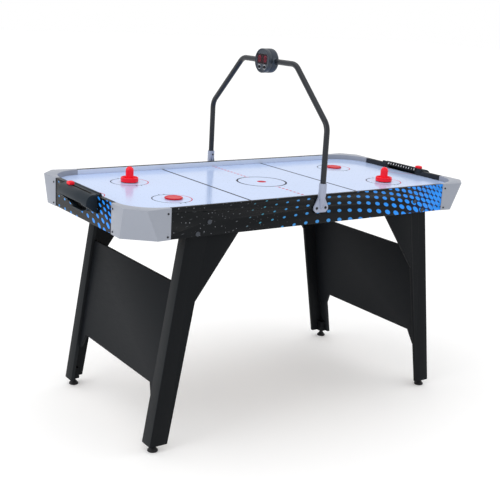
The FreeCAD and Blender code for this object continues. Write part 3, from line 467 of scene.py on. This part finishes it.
def playing_surface():
    finish = Finish("playing_surface", FIELD_WHITE, 0.14, Specular_IOR_Level=FIELD_GLARE)
    x, y, _ = finish.split(finish.place())
    across, along = abs(y), abs(x)
    half = finish.join(along, across, 0.0)

    def band(value, centre, width):
        return finish.below(abs(value - centre), width / 2, INK_BLUR)

    def ring(centre, radius, width):
        return band(finish.distance(half, (*centre, 0.0)), radius, width)

    spot = finish.below(finish.distance(half, (0, 0, 0)), CENTRE_SPOT, INK_BLUR)
    dashes = finish.below(finish.math("PINGPONG", across, DASH_PITCH / 2), DASH_LENGTH / 2, INK_BLUR)
    beyond_ring = finish.below(CENTRE_RING - across, 0.0, INK_BLUR)
    centre_line = finish.below(along, DASH_WIDTH / 2, INK_BLUR) * dashes * beyond_ring
    goal_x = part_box("end_rails")[1].x
    crease = ring((goal_x, 0), CREASE_RING, CREASE_WIDTH)
    from_face_off = along - FACE_OFF[0]
    hash_y = abs(across - FACE_OFF[1]) - FACE_OFF_RING - HASH_LENGTH / 2
    hashes = band(abs(from_face_off), HASH_OFFSET, FACE_OFF_WIDTH) * finish.below(
        abs(hash_y), HASH_LENGTH / 2, INK_BLUR)
    face_off = finish.math("MAXIMUM", ring(FACE_OFF, FACE_OFF_RING, FACE_OFF_WIDTH), hashes)
    outward = finish.below(0.03 - from_face_off * finish.math("SIGN", x), 0.0, 0.02)

    navy_lines = finish.math("MAXIMUM", band(along, ZONE_LINE, ZONE_WIDTH),
                             ring((0, 0), CENTRE_RING, CENTRE_RING_WIDTH))
    ink = finish.mix(navy_lines, FIELD_WHITE, NAVY)
    ink = finish.mix(face_off, ink, finish.mix(outward, NAVY, INK_RED))
    red = finish.math("MAXIMUM", finish.math("MAXIMUM", spot, centre_line), crease)
    ink = finish.mix(red, ink, INK_RED)
    hole_x = finish.math("PINGPONG", along + HOLE_PITCH / 2, HOLE_PITCH / 2)
    hole_y = finish.math("PINGPONG", across + HOLE_PITCH / 2, HOLE_PITCH / 2)
    from_hole = finish.distance(finish.join(hole_x, hole_y, 0.0), (HOLE_PITCH / 2, HOLE_PITCH / 2, 0))
    hole = finish.below(from_hole, HOLE_RADIUS, HOLE_BLUR)
    # painted shade: each air hole is coloured dark for the shade inside it
    finish.set("Base Color", finish.mix(hole, ink, HOLE_SHADE))
    matt_ink = finish.math("MAXIMUM", navy_lines, finish.math("MAXIMUM", red, face_off))
    smear = finish.noise(finish.stretch(finish.place(), (3.0, 9.0, 3.0)), 1.0, 3.0)
    gloss = finish.ranged(smear, NOISE_LOW, NOISE_HIGH, 0.11, 0.19)
    finish.set("Roughness", gloss + matt_ink * INK_MATTNESS)
    finish.bump(1.0 - hole, 0.3 * MM)
    return finish


field_print = playing_surface()
print("field print covers z", round(FIELD_TOP, 4))

# %% [markdown]
# ## The printed aprons
# The aprons are black laminate with a screen of blue dots that grow towards the right until they
# run together. A plain grid of dots would look stiff: on the real print the rows bend down to both
# sides, and the columns lean out and crowd towards the growing end. So each point is first carried
# to a row number and a column number by short sums. Dots sit where both numbers are whole, and
# their size only depends on how far along the board they are. The same print, started further
# along, covers the two ends. Where the real print carries words, this one has only dots and drops.

# %% Apron print
DOT_BLUE = (0.020, 0.270, 0.900)
DOT_STEEL = (0.050, 0.260, 0.620)
DOT_TEAL = (0.045, 0.230, 0.330)
DOT_GREY = (0.085, 0.092, 0.100)
PRINT_BLACK = (0.0036, 0.0046, 0.0060)
GAP_NAVY = (0.004, 0.012, 0.060)

# Places on the print are in millimetres, counted along it from the middle of a side.
PRINT_TOP = 778.0                        # height of row nought at the middle
PRINT_END_START = 219.0                  # where the ends join the print
ROW_BEND = 0.000272                      # how fast the rows fall away from the middle
ROW_PITCH, ROW_SPREAD = 19.8, 0.08       # between rows, and what each millimetre down adds to it
COLUMN_LEAN = 0.00145                    # how far the columns lean out below that row
COLUMNS_PER_MM, COLUMN_SHIFT = 0.0236, 0.169
CROWDING_REACH = 433.2                   # where the crowding has added one whole column
SIDE_DOTS_START, END_DOTS_START = -420.0, -150.0     # where the dots start to grow
DOTS_FULL = 560.0                        # where they are full size
DOT_SEED, DOT_GROWTH, DOT_BURST = 0.036, 0.285, 0.22
DOT_BLUR = 0.03

SPRAY_GREY = (0.20, 0.21, 0.23)
SPRAY_PITCH, SPRAY_DROP = 13.0, 0.16     # between drops, and the largest drop as a share of that


def spray(finish, along, height):
    """Fine pale drops, one in each cell of a Voronoi pattern, each with a size of its own."""
    place = finish.join(along, height, 0.0)
    inputs = {"Vector": place, "Scale": 1.0 / SPRAY_PITCH}
    cells = finish.node("TexVoronoi", inputs, voronoi_dimensions="2D")
    chance = finish.split(Wire(finish, cells.outputs["Color"]))[0]
    fade = finish.ranged(along, -560.0, 60.0, 1.0, 0.25)
    size = finish.math("POWER", chance, 2.5) * fade * SPRAY_DROP
    return finish.below(Wire(finish, cells.outputs["Distance"]), size - 0.02, 0.05)


def apron_print(name, axis, direction, start, dots_start):
    """The dot screen along one axis of the table, in the direction that a viewer reads it."""
    finish = Finish(name, PRINT_BLACK, 0.24, Specular_IOR_Level=MATT_GLARE)
    places = finish.split(finish.place())
    along = places[axis] * (direction / MM) + start
    height = places[2] / MM
    drop = PRINT_TOP - height - along * along * ROW_BEND
    row = drop / (finish.math("MAXIMUM", drop, -25.0) * ROW_SPREAD + ROW_PITCH)
    run = along / (drop * COLUMN_LEAN + 1.0)
    crowding = finish.math("POWER", abs(run) / CROWDING_REACH, 4.0)
    column = run * COLUMNS_PER_MM + crowding + COLUMN_SHIFT
    off_row = finish.math("PINGPONG", row, 0.5)
    off_column = finish.math("PINGPONG", column, 0.5)
    from_dot = finish.distance(finish.join(off_row, off_column, 0.0), (0, 0, 0))
    share = finish.ranged(along, dots_start, DOTS_FULL, 0.0, 1.0)
    dot_size = share * DOT_GROWTH + finish.math("POWER", share, 6.0) * DOT_BURST + DOT_SEED
    dot = finish.below(from_dot, dot_size, DOT_BLUR)
    colour = finish.mix(finish.ranged(along, -300.0, -235.0, 0.0, 1.0), DOT_GREY, DOT_TEAL)
    colour = finish.mix(finish.ranged(along, -215.0, -120.0, 0.0, 1.0), colour, DOT_STEEL)
    colour = finish.mix(finish.ranged(along, 60.0, 360.0, 0.0, 1.0), colour, DOT_BLUE)
    ground = finish.mix(finish.ranged(along, 380.0, 500.0, 0.0, 1.0), PRINT_BLACK, GAP_NAVY)
    ground = finish.mix(spray(finish, along, height), ground, SPRAY_GREY)
    finish.set("Base Color", finish.mix(dot, ground, colour))
    weave = finish.noise(finish.place(), 900.0, 2.0)
    finish.bump(weave, 0.01 * MM)
    haze = finish.noise(finish.place(), 7.0, 2.0)
    finish.set("Roughness", finish.ranged(haze, NOISE_LOW, NOISE_HIGH, 0.20, 0.30))
    return finish


def side_print(name, direction):
    return apron_print(name, 0, direction, 0.0, SIDE_DOTS_START)


def end_print(name, direction):
    return apron_print(name, 1, direction, PRINT_END_START, END_DOTS_START)


PRINTS = {
    "side_apron_front": (side_print("front_print", 1), Vector((0, -1, 0))),
    "side_apron_rear": (side_print("rear_print", -1), Vector((0, 1, 0))),
    "end_apron_left": (end_print("left_print", -1), Vector((-1, 0, 0))),
    "end_apron_right": (end_print("right_print", 1), Vector((1, 0, 0))),
}
print(len(PRINTS), "printed aprons")

# %% [markdown]
# ## Shaping pieces
# The frame's meshes are exact but razor sharp, and nothing made has a perfectly sharp edge: the
# bright line along a rounded edge is what makes a board look like a board. A frame mesh is never
# changed, so a piece that needs softer edges starts as a merged copy of it, is worked on with mesh
# operators, and then stands in for the node. Only edges that are sharp enough and long enough are
# rounded, which leaves the rims of small screw holes alone.

# %% Shaping helpers
def cad_copy(node):
    """A merged copy of a node's mesh, with the triangles of each flat face joined again."""
    bm = bmesh.new()
    bm.from_mesh(frame["nodes"][node].data)
    bmesh.ops.remove_doubles(bm, verts=bm.verts, dist=0.002 * MM)
    bmesh.ops.dissolve_limit(bm, angle_limit=math.radians(0.4), verts=bm.verts, edges=bm.edges)
    return bm


def round_edges(bm, width_mm, segments=2, sharper=30.0, longer_mm=6.0, wanted=None):
    """Round the sharp edges of a mesh, or those of them that are wanted."""
    def chosen(edge):
        if len(edge.link_faces) != 2 or edge.calc_face_angle(0.0) < math.radians(sharper):
            return False
        return edge.calc_length() >= longer_mm * MM and (wanted is None or wanted(edge))

    edges = [edge for edge in bm.edges if chosen(edge)]
    bmesh.ops.bevel(bm, geom=edges, offset=width_mm * MM, offset_type="OFFSET", segments=segments,
                    profile=0.5, affect="EDGES", clamp_overlap=True, material=-1)
    return len(edges)


def finish_piece(name, bm, finishes, body, replaces=(), slot=None, sharp=40.0):
    """Turn a mesh into a shown piece that rides on a body and stands for its nodes."""
    mesh = bpy.data.meshes.new(name)
    bm.to_mesh(mesh)
    bm.free()
    for one in finishes if isinstance(finishes, (list, tuple)) else [finishes]:
        mesh.materials.append(one.material)
    mesh.shade_smooth()
    mesh.set_sharp_from_angle(angle=math.radians(sharp))
    piece = bpy.data.objects.new(name, mesh)
    bpy.context.scene.collection.objects.link(piece)
    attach(piece, body)
    if replaces:
        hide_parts(*replaces)
    slot = slot or (SLOT_OF[replaces[0]] if replaces else None)
    return piece


def stand_in(node, bm, finishes, sharp=40.0):
    """Show a mesh in place of one node, on that node's own body."""
    return finish_piece(node + "_shape", bm, finishes, frame["nodes"][node]["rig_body"], [node], sharp=sharp)


def paint(node, finish):
    """Give a node that keeps its own mesh a finish."""
    for place in frame["nodes"][node].material_slots:
        place.material = finish.material


# %% [markdown]
# ## Boards and aprons
# Each board is a copy of its node with its edges eased by less than a millimetre, as edge banding
# is. The aprons carry three finishes: the print on the outer face, bare fibreboard inside, and
# black edging round the rim. Which face is which follows from the way it looks.

# %% Boards and aprons
SIDES = ("left", "right")
FRONTS = ("front", "rear")
BOARD_ROUND = 0.7


def eased_board(node, finish, width=BOARD_ROUND):
    bm = cad_copy(node)
    rounded = round_edges(bm, width)
    stand_in(node, bm, finish)
    return rounded


def printed_apron(node):
    finish, outward = PRINTS[node]
    bm = cad_copy(node)
    round_edges(bm, BOARD_ROUND)
    for face in bm.faces:
        facing = face.normal.dot(outward)
        face.material_index = 0 if facing > 0.5 else 1 if facing > -0.5 else 2
    stand_in(node, bm, [finish, black_edge, apron_inside])


for node in PRINTS:
    printed_apron(node)

boards = {f"leg_side_{front}_{side}": leg_charcoal for front in FRONTS for side in SIDES}
# the leg ends take the lighter copy of the laminate, which is painted light
boards |= {f"leg_ends_{side}": leg_end_painted_light for side in SIDES}
boards |= {f"end_panel_{side}": panel_charcoal for side in SIDES}
boards["leg_gussets"] = leg_charcoal
for node, finish in boards.items():
    print(node, "edges rounded:", eased_board(node, finish))

# %% [markdown]
# ## Caps, hoods, rails and brackets
# The moulded pieces have softer edges than the boards. A cap's rim is the part that hands meet, so
# it has the widest round, while the hood and the bracket are a little crisper.

# %% Moulded shells
shells = {f"corner_cap_{front}_{side}": (cap_grey, 1.4) for front in FRONTS for side in SIDES}
shells |= {f"goal_hood_{side}": (hood_with_channel, 1.0) for side in SIDES}
shells |= {f"arch_bracket_{front}": (bracket_grey, 0.8) for front in FRONTS}
shells |= {f"score_slider_{side}": (red_plastic, 0.4) for side in SIDES}
shells["side_rails"] = (rail_white, 0.6)
shells["end_rails"] = (rail_dark, 0.6)
shells["power_panel"] = (vent_black, 0.4)
for node, (finish, width) in shells.items():
    bm = cad_copy(node)
    print(node, "edges rounded:", round_edges(bm, width, segments=3, longer_mm=2.0))
    stand_in(node, bm, finish)

# %% [markdown]
# ## Pieces that keep their own mesh
# Round and hidden pieces are right as they are, and only take a finish.

# %% Painted nodes
KEPT = {
    field_print: ("playfield",), hardboard: ("plenum_floor",),
    raw_fibreboard: ("plenum_side_battens", "plenum_cross_battens", "corner_braces"),
    leg_charcoal: ("foot_blocks",),
    dark_screw: ("cap_screws", "hood_screws", "arch_screws"),
    strip_black: ("score_strips",),
    tube_black: ("arch_tube_front", "arch_tube_rear"),
    window_red: ("scorer_lens",),
    segment_dark: ("scorer_digits",),
    circuit_green: ("scorer_board",),
    button_black: ("score_button_front", "score_button_rear"),
    bolt_zinc: ("leg_bolts",),
    foot_black: tuple(f"leveller_{front}_{side}" for front in FRONTS for side in SIDES),
    vent_black: ("blower_housing", "blower_impeller"), motor_steel: ("blower_motor",),
    red_plastic: ("pusher_left", "pusher_right", "power_rocker"),
    puck_red: ("puck_left", "puck_right"),
    felt: ("pusher_felt_left", "pusher_felt_right"),
}
for finish, nodes in KEPT.items():
    for node in nodes:
        paint(node, finish)
print(sum(len(nodes) for nodes in KEPT.values()), "nodes keep their mesh")

# %% [markdown]
# ## Score counter housing
# The counter on the arch is a drum in two shells, and where they meet runs a fine groove. Each shell
# gets its half of it: the edges on the circle of the joint are bevelled, picked by their distance
# from the drum's axis, so the window and the tube sockets keep their crisp edges.

# %% Score counter housing
drum_low, drum_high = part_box("scorer_front_shell")
DRUM_AXIS_Z = (drum_low.z + drum_high.z) / 2
DRUM_RADIUS = (drum_high.z - drum_low.z) / 2
JOINT_BAND, JOINT_GROOVE = 0.4 * MM, 0.9


def on_joint(edge):
    """True for an edge of the circle where the two shells meet."""
    return all(abs(vert.co.x - drum_high.x) < JOINT_BAND
               and abs(math.hypot(vert.co.y, vert.co.z - DRUM_AXIS_Z) - DRUM_RADIUS) < JOINT_BAND
               for vert in edge.verts)


for node in ("scorer_front_shell", "scorer_rear_shell"):
    bm = cad_copy(node)
    count = round_edges(bm, JOINT_GROOVE, segments=1, longer_mm=0.1, wanted=on_joint)
    print(node, "joint edges eased:", count)
    stand_in(node, bm, scorer_grey)

# %% [markdown]
# ## Small bars and marks
# Display segments, slider ribs and the crosses in the screw heads are all small bars. One helper
# makes a bar from a six-sided ring: its left and right halves are pulled apart to make the bar's
# length, and the face is extruded to its thickness. A matrix then sets it in its place. Bars of one
# kind are joined into a single mesh, so that a piece is a set of marks and not dozens of objects.

# %% Bar helper
def add_bar(bm, length, width, thickness, place, material=0):
    """A flat six-sided bar along its own X, standing up its own Z, set down by a matrix."""
    ring = bmesh.ops.create_circle(bm, cap_ends=True, segments=6, radius=width / 2)["verts"]
    for vert in ring:
        vert.co.x += math.copysign((length - width) / 2, vert.co.x)
    face = ring[0].link_faces[0]
    if face.normal.z < 0:
        face.normal_flip()
    grown = bmesh.ops.extrude_face_region(bm, geom=[face], use_keep_orig=True)["geom"]
    top = [item for item in grown if isinstance(item, bmesh.types.BMVert)]
    bmesh.ops.translate(bm, verts=top, vec=(0, 0, thickness))
    faces = {one for vert in ring + top for one in vert.link_faces}
    bmesh.ops.recalc_face_normals(bm, faces=list(faces))
    for one in faces:
        one.material_index = material
    bmesh.ops.transform(bm, matrix=place, verts=ring + top)


def axes(x_axis, z_axis, origin):
    """A matrix whose own X and Z point along two directions, at a point."""
    x, z = Vector(x_axis).normalized(), Vector(z_axis).normalized()
    return Matrix.Translation(origin) @ Matrix((x, z.cross(x), z)).transposed().to_4x4()


# %% [markdown]
# ## Display digits
# Behind the red window are two digits of seven segments each, both showing zero: a ring of six lit
# bars round one that is dark. Three bars lie flat and four stand, and the list below names them by
# their place in the digit, counted in half widths and half heights from its middle.

# %% Display digits
SEGMENT_WIDTH, SEGMENT_THICKNESS = 2.8 * MM, 0.25 * MM
DIGIT_HALF_WIDTH, DIGIT_HALF_HEIGHT = 4.6 * MM, 8.8 * MM
DIGIT_MARGIN = 8.8 * MM       # from the module's outer end to the middle of its digit
SEGMENTS = [(0, 1, "flat", 0), (0, -1, "flat", 0), (0, 0, "flat", 1),
            (-1, 0.5, "tall", 0), (1, 0.5, "tall", 0), (-1, -0.5, "tall", 0), (1, -0.5, "tall", 0)]

digits_low, digits_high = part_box("scorer_digits")
digit_y = digits_high.y - DIGIT_MARGIN
digit_z = (digits_low.z + digits_high.z) / 2
SEGMENT_GAP = 0.4 * MM

bm = bmesh.new()
for side in (-1, 1):
    for across, along, lie, dark in SEGMENTS:
        spot = (digits_low.x, side * digit_y + across * DIGIT_HALF_WIDTH,
                digit_z + along * DIGIT_HALF_HEIGHT)
        length = 2 * DIGIT_HALF_WIDTH if lie == "flat" else DIGIT_HALF_HEIGHT
        way = (0, 1, 0) if lie == "flat" else (0, 0, 1)
        place = axes(way, (-1, 0, 0), spot)
        add_bar(bm, length - SEGMENT_GAP, SEGMENT_WIDTH, SEGMENT_THICKNESS, place, dark)
TABLE = frame["nodes"]["scorer_digits"]["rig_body"]
finish_piece("display_segments", bm, [segment_lit, segment_dark], TABLE, slot=SLOT_OF["scorer_digits"])
print("digits at y", round(digit_y, 4))

# %% [markdown]
# ## Marks round the buttons
# Round each of the two buttons under the window, the drum's face wears a broken grey ring. A ring
# is one short edge spun round the button's axis, less than half a turn at a time, which leaves the
# two gaps, and a solidify gives the ink its hair of thickness. The marks belong to the housing, so
# they stay where they are when a button is pressed.

# %% Marks round the buttons
RING_RADIUS, RING_WIDTH, RING_HEIGHT = 7.2 * MM, 2.0 * MM, 0.06 * MM
RING_TURN, RING_STEPS = math.radians(118), 12
FACE_DEPTH = 2.0 * MM         # the drum's face lies this far behind its rim

bm = bmesh.new()
for front in FRONTS:
    low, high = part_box(f"score_button_{front}")
    middle = Vector((drum_low.x + FACE_DEPTH - RING_HEIGHT, (low.y + high.y) / 2, (low.z + high.z) / 2))
    for half in (0, 1):
        start = Matrix.Rotation(math.pi * half - RING_TURN / 2 + math.pi / 2, 3, "X")
        ends = [bm.verts.new(middle + start @ Vector((0, radius, 0)))
                for radius in (RING_RADIUS - RING_WIDTH / 2, RING_RADIUS + RING_WIDTH / 2)]
        bmesh.ops.spin(bm, geom=[*ends, bm.edges.new(ends)], cent=middle, axis=(1, 0, 0),
                       angle=RING_TURN, steps=RING_STEPS, use_merge=False)
bmesh.ops.recalc_face_normals(bm, faces=bm.faces)
bmesh.ops.solidify(bm, geom=bm.faces[:], thickness=RING_HEIGHT)
finish_piece("button_marks", bm, grey_ink, TABLE, slot=SLOT_OF["scorer_front_shell"])
print("ring marks round", len(FRONTS), "buttons")

# %% [markdown]
# ## Score numbers
# A slider above each goal counts goals against a row of numbers from nought to ten. They face the
# players on the sloping strip, so each number is set as text, turned into a mesh, and laid on the
# strip's slope. The row starts at the slider's rest place. Text is the right tool here because the
# curves of the figures come with it; the extrusion makes each one a thin closed body.

# %% Score numbers
NUMBER_SIZE, NUMBER_THICKNESS, NUMBER_WEIGHT = 9.0 * MM, 0.10 * MM, 0.25 * MM
LAST_NUMBER = 10

strips = cad_copy("score_strips")
facing_in = [face for face in strips.faces if face.calc_center_median().x > 0 and face.normal.x < -0.5]
slope = max(facing_in, key=lambda face: face.calc_area())
STRIP_MIDDLE, STRIP_OUT = slope.calc_center_median(), slope.normal.copy()
strips.free()


def number_mesh(text):
    curve = bpy.data.curves.new("figure", "FONT")
    curve.body = text
    curve.size = NUMBER_SIZE
    curve.extrude = NUMBER_THICKNESS
    curve.resolution_u = 3
    curve.offset = NUMBER_WEIGHT
    curve.align_x, curve.align_y = "CENTER", "CENTER"
    figure = bpy.data.objects.new("figure", curve)
    mesh = bpy.data.meshes.new_from_object(figure)
    bpy.data.objects.remove(figure)
    bpy.data.curves.remove(curve)
    return mesh


slider_low, slider_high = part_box("score_slider_right")
FIRST_NUMBER_Y = (slider_low.y + slider_high.y) / 2
NUMBER_STEP = -2 * FIRST_NUMBER_Y / LAST_NUMBER
for end, side in zip(SIDES, (-1, 1)):
    bm = bmesh.new()
    for number in range(LAST_NUMBER + 1):
        mesh = number_mesh(str(number))
        spot = STRIP_MIDDLE + Vector((0, FIRST_NUMBER_Y + number * NUMBER_STEP, 0))
        mesh.transform(axes((0, -1, 0), STRIP_OUT, spot))
        if side < 0:
            mesh.transform(Matrix.Rotation(math.pi, 4, "Z"))
        bm.from_mesh(mesh)
        bpy.data.meshes.remove(mesh)
    print(end, "numbers:", len(bm.faces), "faces")
    finish_piece(f"score_numbers_{end}", bm, white_ink, TABLE, slot=SLOT_OF["score_strips"])

# %% [markdown]
# ## Grip ribs
# The score sliders have three ribs across their tops so that a finger can push them.

# %% Grip ribs
RIB_COUNT, RIB_PITCH, RIB_WIDTH, RIB_HEIGHT = 3, 4.0 * MM, 1.3 * MM, 0.7 * MM
RIB_REACH, RIB_SUNK = 0.6, 0.1 * MM       # share of the knob's width, and depth into its top

for end in SIDES:
    node = f"score_slider_{end}"
    low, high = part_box(node)
    bm = bmesh.new()
    for rib in range(RIB_COUNT):
        y = (low.y + high.y) / 2 + (rib - (RIB_COUNT - 1) / 2) * RIB_PITCH
        place = axes((1, 0, 0), (0, 0, 1), ((low.x + high.x) / 2, y, high.z - RIB_SUNK))
        add_bar(bm, (high.x - low.x) * RIB_REACH, RIB_WIDTH, RIB_HEIGHT, place)
    finish_piece(f"{node}_ribs", bm, red_plastic, frame["nodes"][node]["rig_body"], slot=SLOT_OF[node])
print(RIB_COUNT, "ribs on each slider")

# %% [markdown]
# ## Screw crosses
# Every visible screw takes a cross-head driver. A node holds all screws of one kind as separate
# bodies, so the script walks over each connected body to find its box. The box's longest side gives
# the screw's axis, and the end that is farther from the table's middle is the head. Only the set
# screws that hold the arch in its brackets go in from the table's side.

# %% Screw crosses
CROSS_LENGTH, CROSS_WIDTH, CROSS_PROUD = 0.62, 0.9 * MM, 0.08 * MM


def islands(node):
    """The lowest and highest corner of each connected body in a node."""
    bm = cad_copy(node)
    unseen = set(bm.verts)
    while unseen:
        edge_of_search = [unseen.pop()]
        found = []
        while edge_of_search:
            vert = edge_of_search.pop()
            found.append(vert.co.copy())
            for edge in vert.link_edges:
                other = edge.other_vert(vert)
                if other in unseen:
                    unseen.discard(other)
                    edge_of_search.append(other)
        yield [Vector(pick(co[i] for co in found) for i in range(3)) for pick in (min, max)]
    bm.free()


def screw_crosses(node):
    bm = bmesh.new()
    count = 0
    for low, high in islands(node):
        size, middle = high - low, (low + high) / 2
        axis = max(range(3), key=lambda i: size[i])
        outward = Vector((0, 0, 0))
        outward[axis] = math.copysign(1, middle[axis])
        if node == "arch_screws" and middle.z > RAIL_TOP:
            outward = -outward
        head = middle.copy()
        head[axis] += outward[axis] * (size[axis] / 2 + CROSS_PROUD)
        reach = min(size[i] for i in range(3)) * CROSS_LENGTH
        across = Vector((0, 0, 1)) if axis != 2 else Vector((1, 0, 0))
        for way in (across, outward.cross(across)):
            add_bar(bm, reach, CROSS_WIDTH, -3 * CROSS_PROUD, axes(way, outward, head))
        count += 1
    bmesh.ops.recalc_face_normals(bm, faces=bm.faces)
    # each cross is a thin bar in near-black, painted shade for the recess
    finish_piece(f"{node}_crosses", bm, recess_painted_shade, TABLE, slot=SLOT_OF[node])
    return count


for node in ("cap_screws", "hood_screws", "arch_screws"):
    print(node, "crosses:", screw_crosses(node))

# %% [markdown]
# ## The floor
# The floor is one large sheet under the feet. It is staging, not part of the table. A faint glow of
# its own keeps it as white as the world behind it and makes the shadows soft and pale.

# %% Floor
FLOOR_SIZE, FLOOR_WHITE, FLOOR_GLOW = 60.0, 0.93, 0.14

bm = bmesh.new()
bmesh.ops.create_grid(bm, x_segments=1, y_segments=1, size=FLOOR_SIZE / 2)
floor_mesh = bpy.data.meshes.new("floor")
bm.to_mesh(floor_mesh)
bm.free()
floor_finish = Finish("floor_paper", (FLOOR_WHITE,) * 3, 0.8, Specular_IOR_Level=MATT_GLARE,
                      Emission_Color=(1, 1, 1, 1), Emission_Strength=FLOOR_GLOW)
floor_mesh.materials.append(floor_finish.material)
floor = bpy.data.objects.new("floor", floor_mesh)
bpy.context.scene.collection.objects.link(floor)
